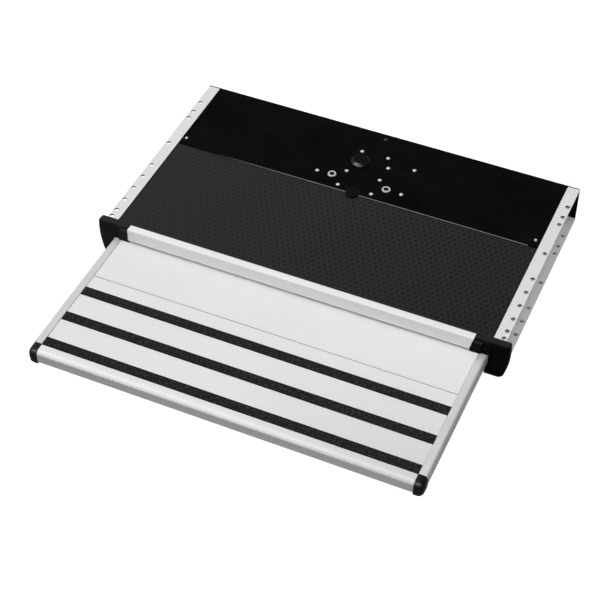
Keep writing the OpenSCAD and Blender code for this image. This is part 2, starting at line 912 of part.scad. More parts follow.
module arm_pin() {
    pin_head_r = 7;
    pin_head_h = 1;
    color(zinc)
        translate([pivot_x + eye_at[0], pivot_y + eye_at[1], 0]) {
            post([0, 0], eye_hole_r - 0.02, arm_bottom, arm_top);
            post([0, 0], pin_head_r, arm_top, arm_top + pin_head_h);
        }
}

module right_arm_pin() arm_pin();
module left_arm_pin() left() arm_pin();

// Tracks and shoes

track_wall = 2;
track_base = 1.8;
track_lip = 2.6;
track_lip_t = 1.6;
track_in = pivot_x + nut_r + 1;
track_out = panel_x - 0.6;
shoe_half = 6;
// Distances of the outer track screws from the track's two ends
track_screw_in = 22;
track_screw_out = 10;
track_screw_step = (track_out - track_in - track_screw_in - track_screw_out) / 2;
track_screw_x = [for (i = [0:2]) track_in + track_screw_in + i * track_screw_step];
track_screw_r = 1.6;
track_screw_head = 3;

module track_section() {
    half = track_w / 2;
    difference() {
        translate([track_y - half, tread_top]) square([track_w, track_h]);
        translate([track_y - half + track_wall, tread_top + track_base])
            square([track_w - 2 * track_wall, track_h - track_base - track_lip_t]);
        translate([track_y - half + track_wall + track_lip, tread_top + track_base])
            square([track_w - 2 * track_wall - 2 * track_lip, track_h]);
    }
}

module track() {
    color(alloy)
        difference() {
            along_x(track_in, track_out) track_section();
            for (x = track_screw_x)
                translate([x, track_y, tread_top + track_base])
                    track_screw_shape(hole_fit);
        }
}

// A countersunk screw whose head is flush with z = 0, grown all round by `grow`
module track_screw_shape(grow) {
    depth = track_base + plank_wall + 3;
    rotate_extrude()
        polygon([
            [0, grow > 0 ? 0.01 : 0], [track_screw_head + grow, grow > 0 ? 0.01 : 0],
            [track_screw_r + grow, -track_screw_head + track_screw_r],
            [track_screw_r + grow, -depth - grow], [0, -depth - grow]
        ]);
}

module right_track() track();
module left_track() left() track();

module track_screws() {
    color(steel)
        right_left()
            for (x = track_screw_x)
                translate([x, track_y, tread_top + track_base])
                    difference() {
                        track_screw_shape(0);
                        translate([0, 0, -1]) cylinder(r = 1.2, h = 2, $fn = 6);
                    }
}

module shoe() {
    half = track_w / 2 - track_wall - slide_fit;
    neck = half - track_lip;
    boss_r = 7;
    color(white_plastic)
        translate([shoe_x, track_y, 0])
            difference() {
                union() {
                    translate([-shoe_half, -half, tread_top + track_base + slide_fit / 2])
                        cube([2 * shoe_half, 2 * half, track_h - track_base - track_lip_t - slide_fit]);
                    translate([-shoe_half, -neck, tread_top + track_base + slide_fit / 2])
                        cube([2 * shoe_half, 2 * neck, track_top + slide_fit - tread_top - track_base]);
                    post([0, 0], boss_r, track_top + slide_fit, shoe_top);
                }
                post([0, 0], eye_hole_r * 0.7, tread_top + track_base + 1, shoe_top + over);
            }
}

module right_shoe() shoe();
module left_shoe() left() shoe();

// Pinion, gearbox and motor

shaft_bush_r = shaft_r + 3;
pinion_phase = pinion_dir + 180 + pinion_dir * sector_z / pinion_z + 180 / pinion_z;
pinion_bottom = arm_bottom - 0.4;
pinion_top = arm_top + 0.4;

module drive_pinion() {
    color(steel)
        translate([pinion_x, pinion_y, 0])
            difference() {
                upright(pinion_bottom, pinion_top)
                    rotate(pinion_phase) polygon(teeth(pinion_z, 0, pinion_z - 1));
                post([0, 0], shaft_r + 0.02, pinion_bottom - over, pinion_top + over);
            }
}

module pinion_shaft() {
    shaft_over = 1.5;
    color(steel)
        post([pinion_x, pinion_y], shaft_r, bracket_bottom + 0.2, shaft_over);
}

module shaft_bush() {
    bush_lip = 0.8;
    color([0.72, 0.55, 0.3])
        difference() {
            post([pinion_x, pinion_y], shaft_bush_r, sheet_bottom - bush_lip, 0);
            post([pinion_x, pinion_y], shaft_r + run_fit, sheet_bottom - bush_lip - over, over);
        }
}

module motor_spacers() {
    color(zinc)
        for (p = motor_points)
            difference() {
                post(p, spacer_r, bracket_top, sheet_bottom);
                post(p, rivet_r + hole_fit, bracket_top - over, over);
            }
}

module gearbox_screw_points() {
    for (a = gearbox_screw_angles)
        translate([pinion_x, pinion_y, 0] + concat(polar(gearbox_screw_circle, a), [0]))
            children();
}

module gearbox_bracket() {
    lug_r = 7;
    color(zinc)
        difference() {
            upright(bracket_bottom, bracket_top) {
                translate([pinion_x, pinion_y]) circle(gearbox_r);
                for (p = motor_points)
                    bar2d([pinion_x, pinion_y], p, lug_r);
                bar2d(motor_points[1], motor_points[3], lug_r);
            }
            for (p = motor_points)
                post(p, rivet_r + hole_fit, bracket_bottom - over, bracket_top + over);
            post([pinion_x, pinion_y], shaft_r + slide_fit, bracket_bottom - over, bracket_top + over);
            gearbox_screw_points()
                post([0, 0], screw_r + hole_fit, bracket_bottom - over, bracket_top + over);
        }
}

module gearbox_screws() {
    gearbox_head_h = 1.4;
    color(steel)
        gearbox_screw_points()
            difference() {
                union() {
                    post([0, 0], screw_r, bracket_bottom - gearbox_screw_deep, bracket_top);
                    post([0, 0], screw_head_r, bracket_top, bracket_top + gearbox_head_h);
                }
                translate([0, 0, bracket_top + 0.5]) cylinder(r = 1.6, h = gearbox_head_h, $fn = 6);
            }
}

// Round worm-wheel case with the worm's barrel across its back
module gearbox_housing() {
    barrel_r = motor_r - 1.5;
    color([0.3, 0.31, 0.33])
        difference() {
            union() {
                post([pinion_x, pinion_y], gearbox_r, gearbox_bottom, bracket_bottom);
                translate([pinion_x - gearbox_r + barrel_in, worm_y, motor_z])
                    rotate([0, 90, 0])
                        cylinder(r = barrel_r, h = motor_start - pinion_x + gearbox_r - barrel_in);
            }
            gearbox_screw_points()
                post([0, 0], screw_r + hole_fit, bracket_bottom - gearbox_screw_deep - over, bracket_bottom + over);
        }
}

module gearbox_lid() {
    rib_t = 2;
    color([0.3, 0.31, 0.33])
        translate([pinion_x, pinion_y, gearbox_bottom - lid_t]) {
            cylinder(r = gearbox_r, h = lid_t);
            for (a = [0:60:120])
                rotate(a)
                    translate([-gearbox_r + 3, -rib_t / 2, -rib_t])
                        cube([2 * gearbox_r - 6, rib_t, rib_t + over]);
        }
}

module motor_can() {
    color(zinc)
        translate([motor_start, worm_y, motor_z])
            rotate([0, 90, 0]) {
                cylinder(r = motor_r + 1.5, h = 3);
                cylinder(r = motor_r, h = motor_len);
            }
}

module motor_end_cover() {
    socket_w = 12;
    socket_h = 9;
    color(black)
        translate([motor_start + motor_len, worm_y, motor_z]) {
            rotate([0, 90, 0])
                rotate_extrude()
                    rounded([0, 0], [motor_r, end_cover_len], [0, 0, 3, 0]);
            difference() {
                translate([0, motor_r - 4, -socket_h / 2]) cube([end_cover_len - 2, socket_w, socket_h]);
                translate([2, motor_r, -socket_h / 2 + 2]) cube([end_cover_len - 6, socket_w, socket_h - 4]);
            }
        }
}

// Tread

strip_room = 0.1;
plank_x = panel_x - joint_gap;
tread_screw_x = panel_x - 6.5;
// Places of the tread screws behind the nose, and behind the seam
nose_screws = [45, 130];
seam_screws = [22, 72];
tread_screw_y = concat([for (d = nose_screws) nose_y + d], [for (d = seam_screws) seam_y + d]);

// Hollow chambers from y0 to y1, parted into `count` by ribs
module chambers(y0, y1, count) {
    step = (y1 - y0 + plank_wall) / count;
    for (i = [0:count - 1])
        rounded(
            [y0 + i * step, plank_bottom + plank_wall],
            [y0 + (i + 1) * step - plank_wall, tread_top - plank_wall - strip_groove],
            [2, 2, 2, 2]
        );
}

module nose_outline(y_end) {
    foot_r = 2.5;
    rounded([nose_y, plank_bottom], [y_end, tread_top], [foot_r, 0, 0, nose_r]);
}

tongue_d = 3;
tongue_h = 4;
tongue_mid = tread_top - tread_t / 2;

module front_plank() {
    nose_solid = nose_r + 2;
    front_end = seam_y - joint_gap / 2;
    color(alloy)
        difference() {
            along_x(-plank_x, plank_x)
                difference() {
                    nose_outline(front_end);
                    chambers(nose_y + nose_solid, front_end - 2 * plank_wall - tongue_d, 5);
                    translate([front_end - tongue_d - slide_fit, tongue_mid - tongue_h / 2 - slide_fit / 2])
                        square([tongue_d + slide_fit + over, tongue_h + slide_fit]);
                    for (y = strip_y)
                        translate([y - strip_w / 2 - strip_room, tread_top - strip_groove])
                            square([strip_w + 2 * strip_room, strip_groove + over]);
                }
            right_left() tread_screw_holes();
        }
}

module rear_plank() {
    front_end = seam_y + joint_gap / 2;
    color(alloy)
        difference() {
            along_x(-plank_x, plank_x)
                difference() {
                    union() {
                        rounded([front_end, plank_bottom], [tread_back, tread_top], [0, 1, 0, 0]);
                        translate([front_end - tongue_d - joint_gap, tongue_mid - tongue_h / 2])
                            square([tongue_d + joint_gap + over, tongue_h]);
                    }
                    chambers(front_end + plank_wall, tread_back - plank_wall, 4);
                }
            right_left() tread_screw_holes();
            right_left()
                for (x = track_screw_x)
                    translate([x, track_y, tread_top + track_base]) track_screw_shape(hole_fit);
        }
}

module tread_screw_holes() {
    for (y = tread_screw_y)
        post([tread_screw_x, y], screw_r + hole_fit, side_bottom - over, plank_bottom + plank_wall + 4);
}

module side_section() {
    edge_r = 4;
    foot_r = 2;
    lip_in = 13;
    difference() {
        union() {
            rounded([panel_x, side_bottom], [side_x, tread_top], [0, foot_r, edge_r, 0]);
            translate([panel_x - lip_in, side_bottom]) square([lip_in + over, side_lip_t]);
        }
        rounded(
            [panel_x + side_wall, side_bottom + side_wall], [side_x - side_wall, tread_top - side_wall],
            [1, 1, edge_r - side_wall, 1]
        );
    }
}

module side_profile() {
    color(alloy)
        difference() {
            along_y(nose_cap_back, side_end) side_section();
            tread_screw_holes();
        }
}

module right_side_profile() side_profile();
module left_side_profile() left() side_profile();

module tread_screws() {
    color(steel)
        right_left()
            mirror([0, 0, 1])
                for (y = tread_screw_y)
                    pan_screw([tread_screw_x, y], -side_bottom, -plank_bottom - plank_wall - 3, screw_head_r);
}

module grip_strip(i) {
    color(grit)
        along_x(-plank_x, plank_x)
            translate([strip_y[i] - strip_w / 2, tread_top - strip_groove])
                square([strip_w, strip_t]);
}

module front_grip_strip() grip_strip(0);
module middle_grip_strip() grip_strip(1);
module rear_grip_strip() grip_strip(2);

// Cap on the end of the nose, with a plug in the side profile
module nose_cap() {
    cap_room = 0.2;
    cap_over_side = 1.2;
    corner_r = 10;
    shoulder_r = 5;
    plug = 12;
    color(black) {
        intersection() {
            along_x(panel_x - joint_gap + cap_room, side_x + cap_over_side)
                rounded([nose_y, side_bottom], [nose_cap_back, tread_top], [shoulder_r, 0, 0, nose_r]);
            upright(side_bottom - over, tread_top + over)
                rounded(
                    [panel_x - joint_gap, nose_y - over], [side_x + cap_over_side, nose_cap_back],
                    [0, corner_r, 0, 0]
                );
            along_y(nose_y - over, nose_cap_back)
                rounded(
                    [panel_x - joint_gap, side_bottom], [side_x + cap_over_side, tread_top],
                    [0, shoulder_r, shoulder_r, 0]
                );
        }
        along_y(nose_cap_back - over, nose_cap_back + plug)
            rounded(
                [panel_x + side_wall + cap_room, side_bottom + side_lip_t + cap_room],
                [side_x - side_wall - cap_room, tread_top - side_wall - cap_room], [1, 1, 2, 1]
            );
    }
}

module right_nose_cap() nose_cap();
module left_nose_cap() left() nose_cap();

// Guide blocks that close the side profiles and run between the rails' guide ledges
module runner_blocks() {
    room = 0.2;
    plug = 16;
    color(white_plastic)
        right_left() {
            along_y(side_end, side_end + runner_len)
                rounded([panel_x, side_bottom], [web_x - slide_fit, tread_top + runner_rise], [1, 1, 1, 1]);
            along_y(side_end - plug, side_end + over)
                rounded(
                    [panel_x + side_wall + room, side_bottom + side_wall + room],
                    [side_x - side_wall - room, tread_top - side_wall - room], [1, 1, 2, 1]
                );
        }
}

left_rail();
right_rail();
front_cover_sheet();
rear_doubler_plate();
front_crossbar();
left_front_cap();
right_front_cap();
rear_wall();
rear_wall_screws();
crossbar_screws();
corner_screws();
rear_rivet();
pivot_rivets();
motor_rivets();
cover_disc();
shaft_dome();
left_pivot_flange();
right_pivot_flange();
pivot_bolts();
pivot_washers();
pivot_nuts();
motor_spacers();
gearbox_bracket();
gearbox_screws();
gearbox_housing();
gearbox_lid();
motor_can();
motor_end_cover();
shaft_bush();
glide_strips();
rear_buffers();
cable_grommet();
front_plank();
rear_plank();
left_side_profile();
right_side_profile();
front_grip_strip();
middle_grip_strip();
rear_grip_strip();
left_nose_cap();
right_nose_cap();
left_track();
right_track();
track_screws();
tread_screws();
runner_blocks();
left_arm();
left_arm_bush();
left_arm_pin();
right_arm();
right_arm_bush();
right_arm_pin();
left_shoe();
right_shoe();
drive_pinion();
pinion_shaft();
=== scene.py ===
import json
import math

import bmesh
import bpy
import numpy as np
from mathutils import Matrix, Vector


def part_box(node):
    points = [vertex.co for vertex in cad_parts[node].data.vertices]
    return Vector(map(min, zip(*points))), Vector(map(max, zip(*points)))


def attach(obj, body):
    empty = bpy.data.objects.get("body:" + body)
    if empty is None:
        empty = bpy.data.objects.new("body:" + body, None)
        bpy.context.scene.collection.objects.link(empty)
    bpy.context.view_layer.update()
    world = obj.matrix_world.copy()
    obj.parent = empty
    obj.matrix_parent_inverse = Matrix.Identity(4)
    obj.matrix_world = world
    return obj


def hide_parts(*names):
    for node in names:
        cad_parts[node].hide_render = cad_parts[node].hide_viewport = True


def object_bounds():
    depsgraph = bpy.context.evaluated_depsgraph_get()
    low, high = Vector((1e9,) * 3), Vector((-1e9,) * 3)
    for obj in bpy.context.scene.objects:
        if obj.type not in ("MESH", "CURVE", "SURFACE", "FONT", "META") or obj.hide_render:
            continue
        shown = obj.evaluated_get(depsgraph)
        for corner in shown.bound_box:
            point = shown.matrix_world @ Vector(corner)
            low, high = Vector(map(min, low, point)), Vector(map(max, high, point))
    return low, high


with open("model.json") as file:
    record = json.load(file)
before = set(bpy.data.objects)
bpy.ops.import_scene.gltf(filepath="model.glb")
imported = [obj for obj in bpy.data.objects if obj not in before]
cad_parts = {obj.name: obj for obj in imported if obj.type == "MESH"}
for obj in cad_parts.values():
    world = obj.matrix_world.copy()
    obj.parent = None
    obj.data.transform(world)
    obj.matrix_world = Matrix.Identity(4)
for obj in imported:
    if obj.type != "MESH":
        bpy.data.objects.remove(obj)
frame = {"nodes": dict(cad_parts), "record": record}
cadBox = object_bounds()
nodes = frame["nodes"]
mm = 0.001
print("frame loaded:", len(nodes), "nodes")


# node tree helpers

def put(tree, value, socket):  # a socket gets linked, anything else is set
    if isinstance(value, bpy.types.NodeSocket):
        tree.links.new(value, socket)
    else:
        socket.default_value = value


def addNode(tree, kind, sockets=None, **settings):
    node = tree.nodes.new("ShaderNode" + kind)
    for key, value in settings.items():
        setattr(node, key, value)
    for key, value in (sockets or {}).items():
        put(tree, value, node.inputs[key])
    return node


def calculate(tree, operation, first, second=0.0):
    node = addNode(tree, "Math", operation=operation)
    put(tree, first, node.inputs[0])
    put(tree, second, node.inputs[1])
    return node.outputs[0]


def product(tree, first, *others):
    for value in others:
        first = calculate(tree, "MULTIPLY", first, value)
    return first


def above(tree, value, limit):
    return calculate(tree, "GREATER_THAN", value, limit)


def below(tree, value, limit):
    return calculate(tree, "LESS_THAN", value, limit)


def unsigned(tree, value):
    return calculate(tree, "ABSOLUTE", value)


def remap(tree, value, fromLow, fromHigh, toLow, toHigh):
    node = addNode(tree, "MapRange", {
        "Value": value, "From Min": fromLow, "From Max": fromHigh, "To Min": toLow, "To Max": toHigh})
    return node.outputs["Result"]


def ramp(tree, value, low, high):
    return remap(tree, value, low, high, 0.0, 1.0)


def mixColour(tree, mask, first, second):
    node = addNode(tree, "Mix", data_type="RGBA")
    put(tree, mask, node.inputs[0])
    put(tree, first, node.inputs[6])
    put(tree, second, node.inputs[7])
    return node.outputs[2]


def blend(tree, mask, first, second):
    node = addNode(tree, "Mix", data_type="FLOAT")
    put(tree, mask, node.inputs[0])
    put(tree, first, node.inputs[2])
    put(tree, second, node.inputs[3])
    return node.outputs[0]


def axes(tree, key="Object"):  # X, Y and Z of the place or, with "Normal", of the way it faces
    return addNode(tree, "SeparateXYZ", {0: addNode(tree, "TexCoord").outputs[key]}).outputs


def grey(value, warm=0.0):  # near-neutral colour, warm > 0 leans to yellow
    return (value * (1 + warm), value, value * (1 - warm), 1.0)


def newGroup(name, inputs, outputs):
    tree = bpy.data.node_groups.new(name, "ShaderNodeTree")
    for key, value in inputs.items():
        kind = "NodeSocketVector" if isinstance(value, tuple) else "NodeSocketFloat"
        tree.interface.new_socket(key, in_out="INPUT", socket_type=kind).default_value = value
    for key, kind in outputs.items():
        tree.interface.new_socket(key, in_out="OUTPUT", socket_type="NodeSocket" + kind)
    return tree, tree.nodes.new("NodeGroupInput").outputs, tree.nodes.new("NodeGroupOutput").inputs


def effect(tree, group, **values):
    node = tree.nodes.new("ShaderNodeGroup")
    node.node_tree = group
    for key, value in values.items():
        put(tree, value, node.inputs[key])
    return node.outputs


# shared effects

grainLook = {"spread": (0.3, 0.7)}
markLook = {"finer": 9.0, "details": (4.0, 3.0), "shares": (0.7, 0.3), "spread": (0.38, 0.62)}
edgeLook = {"samples": 8, "rub": (0.99, 0.8)}
scuffLook = {"turns": (0.35, -0.5, 1.25), "stretch": 0.03, "finer": 10.0, "detail": 2.0, "line": (0.68, 0.76)}


def makeGrain(look):  # noise stretched along the axes: extrusion lines, rolling streaks, moulded stipple
    tree, given, out = newGroup(
        "finishGrain", {"Scale": 900.0, "Stretch": (1.0, 1.0, 1.0), "Detail": 3.0}, {"Grain": "Float"})
    where = addNode(tree, "TexCoord").outputs["Object"]
    stretched = addNode(tree, "VectorMath", {0: where, 1: given["Stretch"]}, operation="MULTIPLY")
    noise = addNode(tree, "TexNoise", {
        "Vector": stretched.outputs[0], "Scale": given["Scale"], "Detail": given["Detail"]})
    put(tree, ramp(tree, noise.outputs["Fac"], *look["spread"]), out["Grain"])
    return tree


def makeHandMarks(look):  # broad clouds of dust and handling with a finer break-up
    tree, given, out = newGroup("handMarks", {"Scale": 14.0, "Seed": 0.0}, {"Marks": "Float"})
    where = addNode(tree, "TexCoord").outputs["Object"]
    scales = (given["Scale"], product(tree, given["Scale"], look["finer"]))
    layers = []
    for scale, detail, share in zip(scales, look["details"], look["shares"]):
        noise = addNode(tree, "TexNoise", {
            "Vector": where, "Scale": scale, "W": given["Seed"], "Detail": detail}, noise_dimensions="4D")
        layers.append(product(tree, noise.outputs["Fac"], share))
    put(tree, ramp(tree, calculate(tree, "ADD", *layers), *look["spread"]), out["Marks"])
    return tree


def makeSoftEdge(look):  # rounded normal at the edges, and a mask where that edge is rubbed
    tree, given, out = newGroup("softEdge", {"Radius": 0.6 * mm}, {"Rub": "Float", "Normal": "Vector"})
    bevel = addNode(tree, "Bevel", {"Radius": given["Radius"]}, samples=look["samples"]).outputs[0]
    flat = addNode(tree, "NewGeometry").outputs["Normal"]
    along = addNode(tree, "VectorMath", {0: bevel, 1: flat}, operation="DOT_PRODUCT")
    put(tree, ramp(tree, along.outputs["Value"], *look["rub"]), out["Rub"])
    put(tree, bevel, out["Normal"])
    return tree


def makeScuffs(look):  # thin crossing scratches
    tree, given, out = newGroup("scuffs", {"Scale": 60.0, "Amount": 0.5}, {"Scratch": "Float"})
    where = addNode(tree, "TexCoord").outputs["Object"]
    scale = product(tree, given["Scale"], look["finer"])
    total = 0.0
    for turn in look["turns"]:
        turned = addNode(tree, "Mapping", {
            "Vector": where, "Rotation": (0.0, 0.0, turn), "Scale": (1.0, look["stretch"], 1.0)})
        noise = addNode(tree, "TexNoise", {
            "Vector": turned.outputs[0], "Scale": scale, "Detail": look["detail"]})
        total = calculate(tree, "MAXIMUM", total, ramp(tree, noise.outputs["Fac"], *look["line"]))
    put(tree, product(tree, total, given["Amount"]), out["Scratch"])
    return tree


grain = makeGrain(grainLook)
handMarks = makeHandMarks(markLook)
softEdge = makeSoftEdge(edgeLook)
scuffs = makeScuffs(scuffLook)
print("shared effects ready")


# finishes

finishes = {}


def newMaterial(name):
    material = bpy.data.materials.new(name)
    material.use_nodes = True
    finishes[name] = material
    return material.node_tree, material.node_tree.nodes["Principled BSDF"]


def finishNormal(tree, shader, edgeNormal, height, look):
    bump = addNode(tree, "Bump", {
        "Height": height, "Normal": edgeNormal, "Strength": look["bump"], "Distance": look["bumpDeep"]})
    put(tree, bump.outputs[0], shader.inputs["Normal"])


alloyLook = {
    "rubbed": grey(0.9), "tint": -0.006, "lineScale": 1400.0, "lineStretch": 0.012, "lineDetail": 3.0,
    "pitScale": 2600.0, "pitDetail": 2.0, "pitShare": 0.6, "markScale": 9.0, "mottleShare": 0.5,
    "scuffScale": 70.0, "scuffAmount": 0.35, "scuffGloss": 0.1, "bump": 0.12, "bumpDeep": 0.05 * mm,
}


def paintRailShadeAndLight(tree, colour, at, facing, web):
    # painted shade on the web under the top flange and on the hole walls, and painted light on the lower
    # flange
    away = unsigned(tree, at["X"])
    upright = above(tree, unsigned(tree, facing["X"]), web["upright"])
    paintedShade = product(tree, upright, below(tree, away, web["within"]), ramp(tree, at["Z"], *web["rise"]))
    colour = mixColour(tree, paintedShade, colour, web["tone"])
    bored = below(tree, unsigned(tree, facing["Z"]), web["level"])
    among = product(tree, above(tree, away, web["holes"][0]), below(tree, away, web["holes"][1]),
                    below(tree, at["Y"], web["end"]))
    colour = mixColour(tree, product(tree, bored, among), colour, web["wall"])
    return mixColour(tree, below(tree, at["Z"], web["below"]), colour, web["ledge"])


def paintBarLightAndShade(tree, colour, facing, foot):  # painted light: the front-facing face is made paler; painted shade where the front turns under at the foot
    ahead = below(tree, facing["Y"], foot["ahead"])
    colour = mixColour(tree, product(tree, ahead, foot["share"]), colour, foot["pale"])
    under = below(tree, facing["Z"], foot["turn"])
    return mixColour(tree, product(tree, under, ahead), colour, foot["tone"])


def anodisedAlloy(name, along, light, dark, roughness, metallic=1.0, edgeRadius=0.5 * mm, nose=None,
                  web=None, foot=None, look=alloyLook):
    tree, shader = newMaterial(name)
    stretch = tuple(look["lineStretch"] if axis == along else 1.0 for axis in "xyz")
    lines = effect(tree, grain, Scale=look["lineScale"], Stretch=stretch, Detail=look["lineDetail"])["Grain"]
    pits = effect(tree, grain, Scale=look["pitScale"], Detail=look["pitDetail"])["Grain"]
    marks = effect(tree, handMarks, Scale=look["markScale"])["Marks"]
    edge = effect(tree, softEdge, Radius=edgeRadius)
    scratch = effect(tree, scuffs, Scale=look["scuffScale"], Amount=look["scuffAmount"])["Scratch"]
    mottle = product(tree, calculate(tree, "ADD", lines, marks), look["mottleShare"])
    colour = mixColour(tree, mottle, grey(dark, look["tint"]), grey(light, look["tint"]))
    colour = mixColour(tree, edge["Rub"], colour, look["rubbed"])
    rough = remap(tree, mottle, 0.0, 1.0, roughness[1], roughness[0])
    rough = calculate(tree, "SUBTRACT", rough, product(tree, scratch, look["scuffGloss"]))
    height = calculate(tree, "ADD", lines, product(tree, pits, look["pitShare"]))
    finishNormal(tree, shader, edge["Normal"], height, look)
    at, facing = axes(tree), axes(tree, "Normal")
    if web is not None:
        colour = paintRailShadeAndLight(tree, colour, at, facing, web)
    if foot is not None:
        colour = paintBarLightAndShade(tree, colour, facing, foot)
    if nose is not None:
        # dull where the top turns down, rubbed smooth on the upright front, grime in the seam; painted shade
        # on the upright front and towards the front right
        turned = ramp(tree, facing["Y"], *nose["turn"])
        front = ramp(tree, facing["Y"], *nose["front"])
        frontRightShade = product(tree, ramp(tree, at["X"], *nose["frontRightShadeX"]),
                          ramp(tree, at["Y"], *nose["frontRightShadeY"]))
        colour = mixColour(tree, frontRightShade, colour, nose["frontRightShade"])
        colour = mixColour(tree, front, colour, nose["tone"])
        fromSeam = unsigned(tree, calculate(tree, "SUBTRACT", at["Y"], nose["seam"]))
        colour = mixColour(tree, below(tree, fromSeam, nose["grimeHalf"]), colour, nose["grime"])
        rough = blend(tree, front, rough, nose["gloss"])
        metallic = blend(tree, front, blend(tree, turned, metallic, 0.0), 1.0)
        put(tree, blend(tree, turned, nose["sheen"], 0.0), shader.inputs["Specular IOR Level"])
    put(tree, colour, shader.inputs["Base Color"])
    put(tree, rough, shader.inputs["Roughness"])
    put(tree, metallic, shader.inputs["Metallic"])


sheetLook = {
    "flat": grey(0.010), "dimple": grey(0.002), "dust": grey(0.026), "dustShare": 0.22,
    "roughness": (0.40, 0.52), "dimpleRough": 0.2, "specular": 0.14, "dull": 0.115,
    "dotFade": (-280.0 * mm, 60.0 * mm), "dotFadeDots": 0.3, "duller": (60.0 * mm, 270.0 * mm),
    "markScale": 11.0, "markSeed": 3.0, "stippleScale": 1500.0, "stippleDetail": 3.0, "edge": 0.3 * mm,
    "bump": 0.25, "bumpDeep": 0.06 * mm,
}


def texturedCoat(name, look=sheetLook):  # charcoal coating; pressed dots come as an attribute of the mesh, and their bottoms get painted shade with dust
    tree, shader = newMaterial(name)
    marks = effect(tree, handMarks, Scale=look["markScale"], Seed=look["markSeed"])["Marks"]
    stipple = effect(tree, grain, Scale=look["stippleScale"], Detail=look["stippleDetail"])["Grain"]
    edge = effect(tree, softEdge, Radius=look["edge"])
    across = axes(tree)["X"]
    dotShadeShare = remap(tree, across, *look["dotFade"], look["dotFadeDots"], 1.0)  # the painted shade and dust in the dots fade to 0.3 towards the left
    dots = product(tree, addNode(tree, "Attribute", attribute_name="dimple").outputs["Fac"], dotShadeShare)
    # painted shade, with dust, darkens the dots
    colour = mixColour(tree, dots, look["flat"], look["dimple"])
    colour = mixColour(tree, product(tree, marks, look["dustShare"]), colour, look["dust"])
    put(tree, colour, shader.inputs["Base Color"])
    rough = remap(tree, marks, 0.0, 1.0, *look["roughness"])
    rough = calculate(tree, "ADD", rough, product(tree, dots, look["dimpleRough"]))
    put(tree, rough, shader.inputs["Roughness"])
    finishNormal(tree, shader, edge["Normal"], stipple, look)
    specular = remap(tree, across, *look["duller"], look["specular"], look["dull"])
    put(tree, specular, shader.inputs["Specular IOR Level"])


doublerLook = {
    "coat": grey(0.001), "streak": grey(0.005), "streakScale": 420.0, "streakStretch": (0.03, 1.0, 1.0),
    "streakDetail": 4.0, "markScale": 12.0, "markSeed": 7.0, "edge": 0.3 * mm, "roughness": (0.5, 0.36),
    "bare": grey(0.45), "bareLeft": (-225.0 * mm, -40.0 * mm), "bareRight": 273.0 * mm, "bareDeep": 0.5 * mm,
    "specular": 0.014, "bump": 0.1, "bumpDeep": 0.05 * mm,
}


def rolledBlack(name, look=doublerLook, bareFront=None):  # black rolled sheet, its sawn front edge left bare
    tree, shader = newMaterial(name)
    streaks = effect(tree, grain, Scale=look["streakScale"], Stretch=look["streakStretch"],
                     Detail=look["streakDetail"])["Grain"]
    marks = effect(tree, handMarks, Scale=look["markScale"], Seed=look["markSeed"])["Marks"]
    edge = effect(tree, softEdge, Radius=look["edge"])
    shade = product(tree, streaks, marks)
    colour = mixColour(tree, shade, look["coat"], look["streak"])
    if bareFront is not None:
        at = axes(tree)
        bare = product(tree, below(tree, at["Y"], bareFront + look["bareDeep"]),
                       ramp(tree, at["X"], *look["bareLeft"]), below(tree, at["X"], look["bareRight"]))
        colour = mixColour(tree, bare, colour, look["bare"])
        put(tree, bare, shader.inputs["Metallic"])
    put(tree, colour, shader.inputs["Base Color"])
    put(tree, remap(tree, shade, 0.0, 1.0, *look["roughness"]), shader.inputs["Roughness"])
    finishNormal(tree, shader, edge["Normal"], streaks, look)
    put(tree, look["specular"], shader.inputs["Specular IOR Level"])


# dark is the colour of the painted shade that deepens from left to right on the caps
mouldLook = {
    "stippleDetail": 2.0, "markScale": 30.0, "markSeed": 11.0, "rubShare": 0.5, "dark": grey(0.0004),
    "flat": (0.86, 0.97), "bump": 0.2, "bumpDeep": 0.06 * mm,
}


# the dust argument paints shade that deepens from left to right
def mouldedBlack(name, colour, rubbed, roughness, specular, stipple, edgeRadius=0.8 * mm, flatTop=None,
                 dust=None, look=mouldLook):
    tree, shader = newMaterial(name)
    spark = effect(tree, grain, Scale=stipple, Detail=look["stippleDetail"])["Grain"]
    marks = effect(tree, handMarks, Scale=look["markScale"], Seed=look["markSeed"])["Marks"]
    edge = effect(tree, softEdge, Radius=edgeRadius)
    for worn in (marks, edge["Rub"]):
        colour = mixColour(tree, product(tree, worn, look["rubShare"]), colour, rubbed)
    if dust is not None:  # painted shade: the colour darkens and the specular drops from left to right
        share = remap(tree, axes(tree)["X"], -dust["half"], dust["half"], 1.0, dust["least"])
        colour = mixColour(tree, share, look["dark"], colour)
        specular = product(tree, share, specular)
    put(tree, colour, shader.inputs["Base Color"])
    put(tree, remap(tree, marks, 0.0, 1.0, *roughness), shader.inputs["Roughness"])
    finishNormal(tree, shader, edge["Normal"], spark, look)
    if flatTop is not None:  # flat tops get a specular level of their own, for how they catch light: painted sheen on the caps' tops, painted shade on the shaft dome's top
        specular = blend(tree, ramp(tree, axes(tree, "Normal")["Z"], *look["flat"]), specular, flatTop)
    put(tree, specular, shader.inputs["Specular IOR Level"])


gritLook = {
    "bed": grey(0.001), "top": grey(0.015), "soil": grey(0.02), "soilShare": 0.15, "clump": grey(0.055),
    "clumpScale": 330.0, "clumpDetail": 2.0, "clumpFrom": 0.55, "clumpShare": 0.8, "sparkScale": 1900.0,
    "sparkDetail": 1.0, "markScale": 25.0, "markSeed": 5.0, "roughness": (0.85, 0.5), "specular": 0.14,
    "bump": 0.5, "bumpDeep": 0.1 * mm,
}


